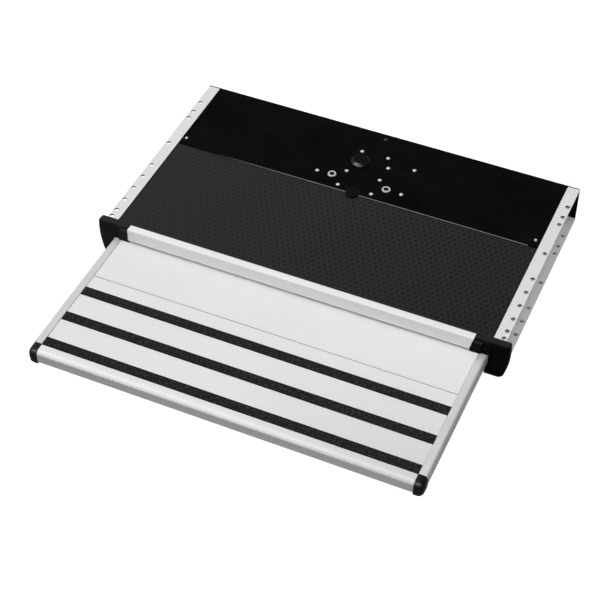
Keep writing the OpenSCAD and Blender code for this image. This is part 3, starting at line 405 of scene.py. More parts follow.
def gritCoat(name, look=gritLook):  # mineral grains bedded in black resin, the tops of the grains worn paler
    tree, shader = newMaterial(name)
    height = addNode(tree, "Attribute", attribute_name="grit").outputs["Fac"]
    sparkle = effect(tree, grain, Scale=look["sparkScale"], Detail=look["sparkDetail"])["Grain"]
    marks = effect(tree, handMarks, Scale=look["markScale"], Seed=look["markSeed"])["Marks"]
    clumps = effect(tree, grain, Scale=look["clumpScale"], Detail=look["clumpDetail"])["Grain"]
    clumps = remap(tree, clumps, look["clumpFrom"], 1.0, 0.0, look["clumpShare"])
    colour = mixColour(tree, height, look["bed"], look["top"])
    colour = mixColour(tree, product(tree, marks, look["soilShare"]), colour, look["soil"])
    put(tree, mixColour(tree, clumps, colour, look["clump"]), shader.inputs["Base Color"])
    put(tree, remap(tree, sparkle, 0.0, 1.0, *look["roughness"]), shader.inputs["Roughness"])
    bump = addNode(tree, "Bump", {"Height": sparkle, "Strength": look["bump"], "Distance": look["bumpDeep"]})
    put(tree, bump.outputs[0], shader.inputs["Normal"])
    put(tree, look["specular"], shader.inputs["Specular IOR Level"])


# the dark colour for the sockets is painted shade, with some dust
steelLook = {
    "markSeed": 2.0, "fineScale": 1100.0, "fineDetail": 4.0, "edge": 0.35 * mm, "stainShare": 0.25,
    "rubbed": grey(0.75), "rubShare": 0.4, "paintedShade": grey(0.012), "paintedShadeWide": 1.2, "paintedShadeDown": 0.25 * mm,
    "bump": 0.12, "bumpDeep": 0.05 * mm,
}


def platedSteel(name, light, dark, roughness, stain, scale=30.0, socket=None, look=steelLook):
    tree, shader = newMaterial(name)
    marks = effect(tree, handMarks, Scale=scale, Seed=look["markSeed"])["Marks"]
    fine = effect(tree, grain, Scale=look["fineScale"], Detail=look["fineDetail"])["Grain"]
    edge = effect(tree, softEdge, Radius=look["edge"])
    colour = mixColour(tree, marks, dark, light)
    colour = mixColour(tree, product(tree, fine, look["stainShare"]), colour, stain)
    colour = mixColour(tree, product(tree, edge["Rub"], look["rubShare"]), colour, look["rubbed"])
    metallic = 1.0
    if socket is not None:  # painted shade, with some dust, in the drive sockets: near either axis and below the rim
        at = axes(tree)
        across = calculate(tree, "SUBTRACT", unsigned(tree, at["X"]), socket["x"])
        along = calculate(tree, "SUBTRACT", at["Y"], socket["y"])
        squares = calculate(tree, "ADD", product(tree, across, across), product(tree, along, along))
        near = below(tree, calculate(tree, "SQRT", squares), look["paintedShadeWide"] * socket["socket"])
        deep = product(tree, near, below(tree, at["Z"], socket["rise"] - look["paintedShadeDown"]),
                       above(tree, at["Z"], -socket["deep"]))
        colour = mixColour(tree, deep, colour, look["paintedShade"])
        metallic = calculate(tree, "SUBTRACT", metallic, deep)
    put(tree, colour, shader.inputs["Base Color"])
    put(tree, remap(tree, fine, 0.0, 1.0, *roughness), shader.inputs["Roughness"])
    finishNormal(tree, shader, edge["Normal"], fine, look)
    put(tree, metallic, shader.inputs["Metallic"])


softLook = {
    "markScale": 40.0, "markSeed": 9.0, "fineScale": 1300.0, "fineDetail": 3.0, "edge": 0.5 * mm,
    "bump": 0.15, "bumpDeep": 0.05 * mm,
}


def softPlastic(name, light, dark, roughness, specular=0.4, look=softLook):
    # acetal guides and rubber, faintly soiled
    tree, shader = newMaterial(name)
    marks = effect(tree, handMarks, Scale=look["markScale"], Seed=look["markSeed"])["Marks"]
    fine = effect(tree, grain, Scale=look["fineScale"], Detail=look["fineDetail"])["Grain"]
    edge = effect(tree, softEdge, Radius=look["edge"])
    put(tree, mixColour(tree, marks, light, dark), shader.inputs["Base Color"])
    put(tree, remap(tree, fine, 0.0, 1.0, *roughness), shader.inputs["Roughness"])
    finishNormal(tree, shader, edge["Normal"], fine, look)
    put(tree, specular, shader.inputs["Specular IOR Level"])


# zones that some finishes follow, taken from the frame's own boxes
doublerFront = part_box("rear_doubler_plate")[0].y
boltLow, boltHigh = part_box("pivot_bolts")
boltHeadRadius = (boltHigh.y - boltLow.y) / 2
pivotBolt = {
    "x": boltHigh.x - boltHeadRadius, "y": boltHigh.y - boltHeadRadius, "head": boltHeadRadius,
    "end": boltLow.z, "rise": 2.2 * mm, "shank": 4.0 * mm, "socket": 3.8 * mm, "deep": 3.2 * mm,
    "rim": 0.5 * mm, "bevel": 0.3 * mm, "crown": 0.9 * mm, "side": 0.1 * mm, "sideRise": 0.55,
    "hexFit": 0.96, "slack": 0.05 * mm, "soften": 0.08 * mm, "steps": 5, "turns": 48,
}
# the front-right mark is painted shade, darker towards the front right, and the tone is painted shade on the
# upright front
plankNose = {
    "turn": (-0.12, -0.5), "front": (-0.42, -0.96), "gloss": 0.2, "sheen": 0.2, "tone": grey(0.70),
    "frontRightShadeX": (0.0, 0.27), "frontRightShadeY": (-0.24, -0.4), "frontRightShade": grey(0.68),
    "seam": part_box("front_plank")[1].y + 0.25 * mm, "grimeHalf": 0.42 * mm, "grime": grey(0.05),
}
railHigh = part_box("right_rail")[1]
# the rail's painted light and shade: tone is painted shade on the web under the top flange, wall is painted
# shade on the hole walls, and the lower flange gets a paler painted-light colour
railShadeAndLight = {
    "upright": 0.9, "within": 0.3, "rise": (-46.0 * mm, -40.0 * mm), "tone": grey(0.07),
    "level": 0.5, "holes": (railHigh.x - 9.0 * mm, railHigh.x - 1.5 * mm), "end": railHigh.y - 1.0 * mm,
    "wall": grey(0.12), "below": -56.0 * mm, "ledge": grey(0.93),
}
# pale is painted light on the bar's front-facing face, and tone is painted shade where the face turns under
# at the foot
barLightAndShade = {"turn": 0.2, "ahead": -0.3, "tone": grey(0.08), "share": 0.4, "pale": grey(0.98)}
capShadeAcross = {"half": 0.3, "least": 0.35}

anodisedAlloy("railAlloy", "y", 0.77, 0.71, (0.38, 0.48), 0.4, web=railShadeAndLight)
anodisedAlloy("plankAlloy", "x", 0.83, 0.80, (0.50, 0.58), 0.03, 0.15 * mm, nose=plankNose)
anodisedAlloy("sideAlloy", "y", 0.68, 0.62, (0.34, 0.44), 0.45, 2.4 * mm)
anodisedAlloy("coverAlloy", "y", 0.65, 0.59, (0.34, 0.44), 0.45, 0.02 * mm)
anodisedAlloy("crossbarAlloy", "x", 0.86, 0.81, (0.34, 0.42), foot=barLightAndShade)
texturedCoat("texturedSheet")
rolledBlack("blackDoubler", bareFront=doublerFront)
rolledBlack("blackWall")
mouldedBlack("capPlastic", grey(0.003), grey(0.009), (0.30, 0.42), 0.10, 900.0, flatTop=0.17, dust=capShadeAcross)
mouldedBlack("nosePlastic", grey(0.002), grey(0.005), (0.34, 0.44), 0.12, 1500.0, 1.2 * mm)
mouldedBlack("plugPlastic", grey(0.0015), grey(0.004), (0.28, 0.36), 0.12, 1400.0, flatTop=0.03)
gritCoat("gritCoat")
platedSteel("brightSteel", grey(0.7), grey(0.56), (0.22, 0.34), grey(0.5))
platedSteel("boltSteel", grey(0.64), grey(0.5), (0.24, 0.36), grey(0.5), socket=pivotBolt)
platedSteel("blackRivet", grey(0.06), grey(0.03), (0.3, 0.45), grey(0.02))
platedSteel("driveSteel", grey(0.42), grey(0.30), (0.34, 0.5), grey(0.2, 0.04))
platedSteel("motorSteel", grey(0.55, 0.02), grey(0.45, 0.03), (0.3, 0.42), grey(0.4, 0.05))
platedSteel("castAlloy", grey(0.34), grey(0.26), (0.5, 0.65), grey(0.2), scale=60.0)
platedSteel("bushBronze", (0.55, 0.36, 0.16, 1), (0.42, 0.26, 0.11, 1), (0.32, 0.45), (0.3, 0.18, 0.08, 1))
softPlastic("glidePlastic", grey(0.72, 0.02), grey(0.6, 0.04), (0.4, 0.5))
softPlastic("rubber", grey(0.012), grey(0.02), (0.7, 0.85), 0.25)

# which finish each of the record's slots takes
slotFinish = {
    "rail_alloy": "railAlloy", "tread_alloy": "plankAlloy", "crossbar_alloy": "crossbarAlloy",
    "textured_sheet": "texturedSheet", "black_sheet": "blackWall", "cap_plastic": "capPlastic",
    "nose_plastic": "nosePlastic", "plug_plastic": "plugPlastic", "grip": "gritCoat",
    "rivet_steel": "blackRivet", "bright_steel": "brightSteel", "drive_steel": "driveSteel",
    "motor_steel": "motorSteel", "cast_alloy": "castAlloy", "bush_bronze": "bushBronze",
    "glide_plastic": "glidePlastic", "rubber": "rubber",
}
# nodes that differ from their slot: grain direction, the doubler's bare edge, the painted shade in the bolts'
# sockets
nodeFinish = {
    "left_side_profile": "sideAlloy", "right_side_profile": "sideAlloy", "rear_doubler_plate": "blackDoubler",
    "pivot_bolts": "boltSteel",
}


def setFinish(piece, name):
    piece.data.materials.clear()
    piece.data.materials.append(finishes[name])


print("finishes:", len(finishes))


# mesh helpers

def gridQuads(rows, columns, closed=False):
    # vertex (i, j) is i * columns + j; closed joins the last column to the first
    i = np.arange(rows - 1)[:, None]
    j = np.arange(columns if closed else columns - 1)[None, :]
    k = (j + 1) % columns
    corners = [i * columns + j, i * columns + k, (i + 1) * columns + k, (i + 1) * columns + j]
    return np.stack(corners, -1).reshape(-1, 4)


def turnFaces(faces, needed):  # a mirrored piece has its faces the other way round
    return [face[::-1] for face in faces] if needed else faces


def addPiece(name, points, faces, finish, body, slot, replaced=(), smoothAngle=40.0):
    mesh = bpy.data.meshes.new(name)
    mesh.from_pydata(np.asarray(points, float).reshape(-1, 3).tolist(), [], faces)
    mesh.polygons.foreach_set("use_smooth", np.ones(len(mesh.polygons), bool))
    mesh.set_sharp_from_angle(angle=math.radians(smoothAngle))
    mesh.update()
    piece = bpy.data.objects.new(name, mesh)
    bpy.context.scene.collection.objects.link(piece)
    setFinish(piece, finish)
    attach(piece, body)
    if replaced:
        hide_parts(*replaced)
    return piece


def slabFaces(rows, columns):
    # a height field's quads, a skirt down to the ring of bottom points, and one bottom face
    ring = np.concatenate([
        np.arange(columns - 1), np.arange(rows - 1) * columns + columns - 1,
        (rows - 1) * columns + np.arange(columns - 1, 0, -1), np.arange(rows - 1, 0, -1) * columns])
    low = rows * columns + np.arange(len(ring))
    skirt = np.stack([ring, low, np.roll(low, -1), np.roll(ring, -1)], -1)
    return ring, gridQuads(rows, columns).tolist() + skirt.tolist() + [low[::-1].tolist()]


def addSlab(name, x, y, z, bottom, values, attribute, finish, body, slot, replaced=()):
    # top points (x, y, z) on a grid over a flat underside; values are kept per vertex for the finish
    rows, columns = z.shape
    top = np.stack([np.broadcast_to(x[None, :], z.shape), np.broadcast_to(y[:, None], z.shape), z], -1)
    top = top.reshape(-1, 3)
    ring, faces = slabFaces(rows, columns)
    under = top[ring] * [1, 1, 0] + [0, 0, bottom]
    points = np.concatenate([top, under])
    piece = addPiece(name, points, faces, finish, body, slot, replaced, smoothAngle=80.0)
    layer = piece.data.attributes.new(attribute, "FLOAT", "POINT")
    values = np.concatenate([values.ravel(), np.zeros(len(ring))])
    layer.data.foreach_set("value", values.astype(np.float32))


# pressed texture of the cover sheet: staggered dimples in a thin coat on the sheet

coverTexture = {
    "pitch": 9.1 * mm, "row": 8.15 * mm, "dimple": 5.2 * mm, "depth": 0.5 * mm, "coat": 0.55 * mm,
    "samples": (8, 7), "edge": 0.4 * mm, "stretch": 1.3, "contrast": 1.6,
}


def makeCoverTexture(look):
    low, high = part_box("front_cover_sheet")
    pitch, row = look["pitch"], look["row"]
    x0, x1 = low.x + look["edge"], high.x - look["edge"]
    y0, y1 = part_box("front_crossbar")[1].y + look["edge"], doublerFront - look["edge"]
    x = np.linspace(x0, x1, int((x1 - x0) / pitch * look["samples"][0]))
    y = np.linspace(y0, y1, int((y1 - y0) / row * look["samples"][1]))
    slant = np.array([pitch / 2, row])
    slant = slant / np.linalg.norm(slant)

    def offset(shiftX, shiftY):
        # distance to the nearest dimple of a rectangular lattice, cut short along the line to the next row
        across = (x[None, :] - shiftX + pitch / 2) % pitch - pitch / 2
        along = (y[:, None] - y0 - shiftY + row) % (2 * row) - row
        lengthwise = (across * slant[0] + along * slant[1]) / look["stretch"]
        return np.hypot(lengthwise, along * slant[0] - across * slant[1])

    # the nearer dimple of two lattices that interleave
    nearest = np.minimum(offset(0.0, 0.0), offset(pitch / 2, row))
    # bowl: depth times (1 - (distance / radius) squared) squared
    bowl = np.clip(1 - (2 * nearest / look["dimple"]) ** 2, 0, 1)
    z = high.z + look["coat"] - look["depth"] * bowl ** 2
    # the dots' values also set how much painted shade, with dust, the finish puts in them
    addSlab("cover_texture", x, y, z, high.z, np.clip(bowl * look["contrast"], 0, 1), "dimple",
            "texturedSheet", "cassette", "textured_sheet")


makeCoverTexture(coverTexture)
print("cover texture done")


# grip strips: loose mineral grains on a bedded strip

gripStrip = {
    "grain": 0.62 * mm, "proud": 0.15 * mm, "rise": 0.4 * mm, "bed": 0.4, "power": 1.6, "rim": 1.2, "seed": 4,
    "ahead": {"front_grip_strip": 1.3 * mm, "middle_grip_strip": 1.8 * mm, "rear_grip_strip": 1.8 * mm},
}


def makeGripStrip(name, look, draw):
    low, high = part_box(name)
    front = low.y - look["ahead"][name]
    x = np.linspace(low.x, high.x, int((high.x - low.x) / look["grain"]))
    y = np.linspace(front, high.y, int((high.y - front) / look["grain"]))
    # a random height for every grain, raised to a power so that few stand out, falling to the bed at the rim
    heights = draw.random((len(y), len(x))) ** look["power"]
    rim = np.minimum(np.minimum(x - x[0], x[-1] - x)[None, :], np.minimum(y - y[0], y[-1] - y)[:, None])
    rim = rim / look["grain"]
    heights *= np.clip(rim / look["rim"], 0, 1)
    z = high.z + look["proud"] * np.clip(rim, 0, 1) + look["rise"] * (heights - look["bed"])
    addSlab(name + "_grit", x, y, z, low.z, heights, "grit", "gritCoat", "tread", "grip", (name,))


draw = np.random.default_rng(gripStrip["seed"])
for stripName in ("front_grip_strip", "middle_grip_strip", "rear_grip_strip"):
    makeGripStrip(stripName, gripStrip, draw)
print("grip strips done")


# rounded profiles carried along a straight line

def filletProfile(corners, radii, steps=6):
    # each corner of a closed outline becomes an arc that touches both of its sides
    corner, radius = np.asarray(corners, float), np.asarray(radii, float)[:, None]
    before, after = np.roll(corner, 1, 0) - corner, np.roll(corner, -1, 0) - corner
    before /= np.linalg.norm(before, axis=1, keepdims=True)
    after /= np.linalg.norm(after, axis=1, keepdims=True)
    half = np.arccos(np.clip((before * after).sum(1, keepdims=True), -1, 1)) / 2
    middle = (before + after) / np.linalg.norm(before + after, axis=1, keepdims=True)
    centre = corner + middle * radius / np.sin(half)
    first = corner + before * radius / np.tan(half) - centre
    last = corner + after * radius / np.tan(half) - centre
    turn = (np.pi - 2 * half)[:, None]
    share = np.linspace(0, 1, steps)[None, :, None]
    arc = np.sin((1 - share) * turn) * first[:, None] + np.sin(share * turn) * last[:, None]
    return (centre[:, None] + arc / np.sin(turn)).reshape(-1, 2)


def sweepFaces(stations, count):
    return gridQuads(stations, count, True).tolist() + [
        list(range(count))[::-1], list(range((stations - 1) * count, stations * count))]


crossbar = {
    "lip": 12.4 * mm, "backRise": 2.8 * mm, "slope": 6.1 * mm, "drop": 15.4 * mm, "taper": 3.5 * mm,
    "wall": 2.2 * mm, "underRise": 0.3 * mm, "back": 0.7 * mm, "crease": 0.8 * mm, "foot": 0.9 * mm,
    "inner": 0.5 * mm, "heel": 0.3 * mm, "endChamfer": 0.35 * mm,
    "groove": (0.42, 0.55 * mm, 0.55 * mm), "grooveEdges": (0.15 * mm, 0.1 * mm, 0.15 * mm), "smooth": 20.0,
}


def makeCrossbar(look):
    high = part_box("front_crossbar")[1]
    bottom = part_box("front_cover_sheet")[1].z
    crease = np.array([high.y - look["lip"], high.z])
    foot = crease - [look["slope"], look["drop"]]
    face = (foot - crease) / np.linalg.norm(foot - crease)
    inward = np.array([-face[1], face[0]]) * look["wall"]
    inner = crease + inward
    inner = inner + face * (bottom + look["underRise"] - inner[1]) / face[1]
    rear = np.array([high.y, bottom + look["backRise"]])
    lip = (crease - rear) / np.linalg.norm(crease - rear)
    share, halfWide, deep = look["groove"]
    dip = rear + (crease - rear) * share
    corners = [rear, dip - lip * halfWide, dip - [0, deep], dip + lip * halfWide, crease, foot, foot + inward,
               inner, [high.y, bottom]]
    profile = filletProfile(corners, [look["back"], *look["grooveEdges"], look["crease"], look["foot"],
                                      look["foot"], look["inner"], look["heel"]])
    # four stations along X whose half length shrinks in step with the drop below the crease;
    # the profile draws in a little at both cut ends
    cut = look["endChamfer"]
    drawn = np.array([1.0, 0.0, 0.0, 1.0]) * cut
    centre = profile.mean(0)
    outward = (profile - centre) / np.linalg.norm(profile - centre, axis=1, keepdims=True)
    section = profile[None] - outward[None] * drawn[:, None, None]
    half = high.x - look["taper"] * (crease[1] - section[..., 1]) / look["drop"]
    x = np.array([-1, -1, 1, 1])[:, None] * (half - np.array([0, cut, cut, 0])[:, None])
    points = np.concatenate([x[..., None], section], -1)
    addPiece("crossbar_profile", points, sweepFaces(len(x), len(profile)), "crossbarAlloy", "cassette",
             "crossbar_alloy", ("front_crossbar",), look["smooth"])


makeCrossbar(crossbar)
print("crossbar done")


# turned pieces: the shaft dome, the corner screws and the pivot bolts; the outlines of the first two
# are shares of radius and height

shaftDome = {
    "outline": [(0.0, 1.0), (0.66, 1.0), (0.71, 0.96), (0.95, 0.42), (1.0, 0.28), (1.0, 0.0)],
    "soften": 0.7 * mm, "steps": 9, "turns": 72,
}
cornerScrew = {
    "outline": [(0.0, 1.0), (0.55, 0.94), (0.9, 0.6), (1.0, 0.25), (1.0, 0.0)], "head": 2.7 * mm,
    "rise": 2.7 * mm, "shank": 1.9 * mm, "soften": 0.1 * mm, "steps": 4, "turns": 32,
}
easeSamples = 9  # how many shifted copies of an outline are averaged
mergeGap = 0.001 * mm


def turnOutline(marks, look):
    # the straight lines between the marks in even parts, averaged over a short stretch to ease the corners
    marks = np.asarray(marks, float)
    count = len(marks) - 1
    length = np.concatenate([[0], np.cumsum(np.linalg.norm(np.diff(marks, axis=0), axis=1))])
    share = np.interp(np.linspace(0, count, count * look["steps"] + 1), np.arange(count + 1), length)
    shifts = np.linspace(-look["soften"], look["soften"], easeSamples)[:, None]
    eased = np.stack([np.interp(share + shifts, length, marks[:, k]).mean(0) for k in (0, 1)], -1)
    eased[0], eased[-1] = marks[0], marks[-1]
    return eased


def turnMesh(outline, turns, centre):
    # radius and height of the outline carried round the upright axis through centre
    angle = np.linspace(0, 2 * np.pi, turns, endpoint=False)
    radius, height = outline[:, :1], outline[:, 1:] + 0 * angle
    points = np.stack([centre[0] + radius * np.cos(angle), centre[1] + radius * np.sin(angle), height], -1)
    faces = gridQuads(len(outline), turns, True)[:, ::-1].tolist()
    last = (len(outline) - 1) * turns + np.arange(turns)
    return points.reshape(-1, 3), faces + [last[::-1].tolist()]


def joinMeshes(parts):
    points, faces, count = [], [], 0
    for more, quads in parts:
        faces += [[index + count for index in quad] for quad in quads]
        points.append(more)
        count += len(more)
    return np.concatenate(points), faces


def addTurned(name, mesh, finish, slot, replaced, smoothAngle):
    piece = addPiece(name, *mesh, finish, "cassette", slot, (replaced,), smoothAngle)
    joined = bmesh.new()  # each ring of points on an axis becomes one point
    joined.from_mesh(piece.data)
    bmesh.ops.remove_doubles(joined, verts=joined.verts, dist=mergeGap)
    joined.to_mesh(piece.data)
    joined.free()


def makeShaftDome(look):
    low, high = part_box("shaft_dome")
    size = np.array([(high.x - low.x) / 2, high.z - low.z])
    outline = turnOutline(np.array(look["outline"]) * size, look) + [0, low.z]
    mesh = turnMesh(outline, look["turns"], (low + high) / 2)
    addTurned("shaft_dome_shell", mesh, "plugPlastic", "plug_plastic", "shaft_dome", smoothAngle=60.0)


def makeCornerScrews(look):
    low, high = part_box("corner_screws")
    reach = (high.y - low.y) / 2
    shank = look["shank"]
    marks = [(share * look["head"], rise * look["rise"]) for share, rise in look["outline"]]
    outline = turnOutline(marks + [(shank, 0.0), (shank, low.z), (0, low.z)], look)
    mesh = joinMeshes([turnMesh(outline, look["turns"], (side * (high.x - reach), low.y + reach))
                       for side in (-1, 1)])
    addTurned("corner_screw_heads", mesh, "brightSteel", "bright_steel", "corner_screws", smoothAngle=50.0)


def makePivotBolts(look):
    head, rise, shank, socket, end = [look[key] for key in ("head", "rise", "shank", "socket", "end")]
    floor, rim = rise - look["deep"], socket + look["rim"]
    marks = [(0, floor), (socket, floor), (socket, rise - look["bevel"]), (rim, rise),
             (head - look["crown"], rise), (head - look["side"], look["sideRise"] * rise), (head, 0.0),
             (shank, 0.0), (shank, end), (0, end)]
    outline = turnOutline(marks, look)
    bolts = []
    for side in (-1, 1):
        middle = np.array([side * look["x"], look["y"]])
        points, faces = turnMesh(outline, look["turns"], middle)
        # in the socket the round becomes a hexagon: radius over the cosine of the angle from the middle
        # of the flat
        offset = points[:, :2] - middle
        flat = 1 / np.cos(np.arctan2(offset[:, 1], offset[:, 0]) % (math.pi / 3) - math.pi / 6)
        hollow = np.linalg.norm(offset, axis=1) < rim - look["bevel"]
        hollow &= points[:, 2] > floor - look["slack"]
        points[:, :2] += offset * (flat * look["hexFit"] - 1)[:, None] * hollow[:, None]
        bolts.append((points, faces))
    addTurned("pivot_bolt_heads", joinMeshes(bolts), "boltSteel", "bright_steel", "pivot_bolts",
              smoothAngle=40.0)


makeShaftDome(shaftDome)
makeCornerScrews(cornerScrew)
makePivotBolts(pivotBolt)
print("turned pieces done")


# nose caps: a rounded section carried along X that draws in over a quarter ellipse at its outer end

noseCap = {
    "front": 1.6 * mm, "top": 0.8 * mm, "under": 2.8 * mm, "edges": (9.0 * mm, 7.0 * mm),
    "edgeLoss": (0.5, 0.3), "backGap": 0.5 * mm, "backEdge": 0.4 * mm, "dome": 8.0 * mm, "drawIn": 0.8,
    "stations": 12, "arc": 10,
}


def makeNoseCap(name, side, look):
    low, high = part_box(name)
    inner, outer = (high.x, low.x) if side < 0 else (low.x, high.x)
    front, back = low.y - look["front"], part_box("front_grip_strip")[0].y - look["backGap"]
    bottom, top = low.z - look["under"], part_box("front_plank")[1].z + look["top"]
    turn = np.linspace(0, np.pi / 2, look["stations"])
    x = np.concatenate([[inner], outer - side * look["dome"] * (1 - np.sin(turn))])
    inset = np.concatenate([[0], look["dome"] * look["drawIn"] * (1 - np.cos(turn))])
    topRadius, lowRadius = look["edges"]
    topLoss, lowLoss = look["edgeLoss"]
    sections = np.stack([filletProfile(
        [[front + d, top - d], [front + d, bottom + d], [back, bottom + d], [back, top - d]],
        [topRadius - topLoss * d, lowRadius - lowLoss * d, look["backEdge"], look["backEdge"]],
        look["arc"]) for d in inset])
    count = sections.shape[1]
    points = np.concatenate([np.broadcast_to(x[:, None, None], (len(x), count, 1)), sections], -1)
    faces = turnFaces(sweepFaces(len(x), count), side < 0)
    addPiece(name + "_shell", points, faces, "nosePlastic", "tread", "nose_plastic", (name,),
             smoothAngle=35.0)


for capName, side in (("left_nose_cap", -1), ("right_nose_cap", 1)):
    makeNoseCap(capName, side, noseCap)
print("nose caps done")


# front cap shells: a corner-rounded outline with a bowed outer edge, carried back along Y from a rounded
# front edge

capShell = {
    "deep": 12.5 * mm, "inside": 28.2 * mm, "bow": 160.0 * mm, "bowHeight": -16.0 * mm, "topCorner": 2.5 * mm,
    "footCorner": 9.0 * mm, "edge": 2.9 * mm, "over": 0.25 * mm, "stations": 9, "arc": 24,
    "bulge": 1.2 * mm, "bulgeWide": 8.0 * mm, "toe": 4.0 * mm, "toeGap": 0.6 * mm,
}


def capOutline(look, outer, bottom, top, toe, inset):
    # arcs of both corners run smoothly into the bow, whose middle lies far inside; inset shrinks every radius
    middle = np.array([outer - look["bow"], look["bowHeight"]])
    arcs = []
    for radius, height, start, sign in ((look["footCorner"], bottom + look["footCorner"], -np.pi / 2, 1),
                                        (look["topCorner"], top - look["topCorner"], np.pi / 2, -1)):
        away = math.sqrt((look["bow"] - radius) ** 2 - (height - middle[1]) ** 2)
        meet = math.atan2(height - middle[1], away)
        angle = np.linspace(start, meet, look["arc"])[::sign]
        corner = middle + [away, height - middle[1]]
        arcs.append((corner + (radius - inset) * np.stack([np.cos(angle), np.sin(angle)], -1), meet))
    along = np.linspace(arcs[0][1], arcs[1][1], look["arc"])[1:-1]
    bow = middle + (look["bow"] - inset) * np.stack([np.cos(along), np.sin(along)], -1)
    # a toe reaches in under the tread
    inner = outer - look["inside"]
    tip = inner - look["toe"]
    ends = np.array([[inner, top - inset], [inner, toe], [tip, toe], [tip, bottom + inset]])
    return np.concatenate([arcs[0][0], bow, arcs[1][0], ends])


def makeCapShell(name, side, look):
    low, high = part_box(name)
    outer = (high.x if side > 0 else -low.x) + look["over"]
    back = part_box("right_rail")[0].y - look["over"]
    front = back - look["deep"]
    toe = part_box("right_side_profile")[0].z - look["toeGap"]
    turn = np.linspace(0, np.pi / 2, look["stations"])
    y = np.concatenate([np.linspace(back, front + look["edge"], look["stations"])[:-1],
                        front + look["edge"] * (1 - np.sin(turn))])
    inset = np.concatenate([np.zeros(look["stations"] - 1), look["edge"] * (1 - np.cos(turn))])
    sections = np.stack([capOutline(look, outer, low.z, high.z + look["over"], toe, d) for d in inset])
    # the outer side swells by half a sine wave between back and front
    swell = look["bulge"] * np.sin(np.pi * (back - y) / (back - front))[:, None]
    swell = swell * np.clip((sections[..., 0] - outer) / look["bulgeWide"] + 1, 0, 1)
    along = np.broadcast_to(y[:, None], sections.shape[:2])
    points = np.stack([side * (sections[..., 0] + swell), along, sections[..., 1]], -1)
    faces = turnFaces(sweepFaces(len(y), sections.shape[1]), side < 0)
    addPiece(name + "_shell", points, faces, "capPlastic", "cassette", "cap_plastic", smoothAngle=35.0)


for capName, side in (("left_front_cap", -1), ("right_front_cap", 1)):
    makeCapShell(capName, side, capShell)
print("cap shells done")


# side covers: the top of each side profile stands a little proud of the planks, a rounded bar along Y

sideCover = {
    "proud": 0.8 * mm, "deep": 3.0 * mm, "joint": 0.4 * mm, "over": 0.05 * mm, "inner": 0.3 * mm,
    "outer": 3.0 * mm, "lower": 0.1 * mm, "arc": 8,
}


def makeSideCover(name, side, look):
    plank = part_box("rear_plank")[1]
    low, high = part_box(name)
    top, bottom = plank.z + look["proud"], plank.z - look["deep"]
    inner, outer = plank.x + look["joint"], (high.x if side > 0 else -low.x) + look["over"]
    section = filletProfile([[inner, top], [inner, bottom], [outer, bottom], [outer, top]],
                            [look["inner"], look["lower"], look["lower"], look["outer"]], look["arc"])
    shape = (2, len(section))
    along = np.array([low.y, high.y])[:, None]
    points = np.stack([np.broadcast_to(column, shape)
                       for column in (side * section[:, 0], along, section[:, 1])], -1)
    faces = turnFaces(sweepFaces(2, len(section)), side > 0)
    addPiece(name + "_cover", points, faces, "coverAlloy", "tread", "tread_alloy")


for profileName, side in (("left_side_profile", -1), ("right_side_profile", 1)):
    makeSideCover(profileName, side, sideCover)
print("side covers done")


# finishes of the frame's own nodes

slotOf = {entry["node"]: entry["material_slot"] for entry in frame["record"]["subparts"]}
for nodeName, node in nodes.items():
    if not node.hide_render:
        setFinish(node, nodeFinish.get(nodeName) or slotFinish[slotOf[nodeName]])
print("frame nodes finished")


# stage: pale floor that is greyer to what it lights than to the eye, and clear from below

studio = {
    "floorSeen": 0.30, "floorGlow": 0.90, "floorLit": 0.38, "floorLamp": 0.4, "floorHalf": 9.0,
    "shade": 0.92, "shadeTone": grey(0.1), "worldSeen": 1.0,
    "fillFrom": (-0.6, 0.05), "fill": (4.2, 0.1), "fillRise": (0.4, 0.8), "fillHigh": (0.0, 1.15),
    "mirrorFrom": (-0.5, 0.4), "mirror": (0.73, 0.92), "leanFrom": (-0.5, 0.7), "lean": (1.15, 0.4),
}


def makeFloor(look):
    half, height = look["floorHalf"], cadBox[0][2]
    mesh = bpy.data.meshes.new("floor")
    corners = [(x * half, y * half, height) for x, y in ((-1, -1), (1, -1), (1, 1), (-1, 1))]
    mesh.from_pydata(corners, [], [(0, 1, 2, 3)])
    floor = bpy.data.objects.new("floor", mesh)
    bpy.context.scene.collection.objects.link(floor)
    tree, shader = newMaterial("paleFloor")
    tree.nodes.remove(shader)
    at = axes(tree)
    across = unsigned(tree, at["X"])

    def within(nearX, farX, frontY, backY):
        return product(tree, above(tree, across, nearX), below(tree, across, farX),
                       above(tree, at["Y"], frontY), below(tree, at["Y"], backY))

    low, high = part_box("right_rail")
    under = within(low.x, high.x, low.y, high.y)  # dim right under the rails, where only their holes show it
    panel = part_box("rear_plank")[1].x
    beneath = within(-1.0, panel, cadBox[0][1], cadBox[1][1])  # a lamp to the underside, unseen by the eye
    openShare = calculate(tree, "SUBTRACT", 1.0, product(tree, under, look["shade"]))
    pale = addNode(tree, "BsdfDiffuse", {
        "Color": mixColour(tree, under, grey(look["floorSeen"]), look["shadeTone"])})
    glow = addNode(tree, "Emission", {"Strength": product(tree, openShare, look["floorGlow"])})
    seen = addNode(tree, "AddShader", {0: pale.outputs[0], 1: glow.outputs[0]})
    lit = addNode(tree, "BsdfDiffuse", {"Color": grey(look["floorLit"])})
    lamp = addNode(tree, "Emission", {"Strength": product(tree, beneath, look["floorLamp"])})
    unseen = addNode(tree, "AddShader", {0: lit.outputs[0], 1: lamp.outputs[0]})
    byEye = addNode(tree, "MixShader", {
        0: addNode(tree, "LightPath").outputs["Is Camera Ray"], 1: unseen.outputs[0], 2: seen.outputs[0]})
    clear = addNode(tree, "MixShader", {
        0: addNode(tree, "NewGeometry").outputs["Backfacing"], 1: byEye.outputs[0],
        2: addNode(tree, "BsdfTransparent").outputs[0]})
    put(tree, clear.outputs[0], tree.nodes["Material Output"].inputs["Surface"])
    mesh.materials.append(finishes["paleFloor"])


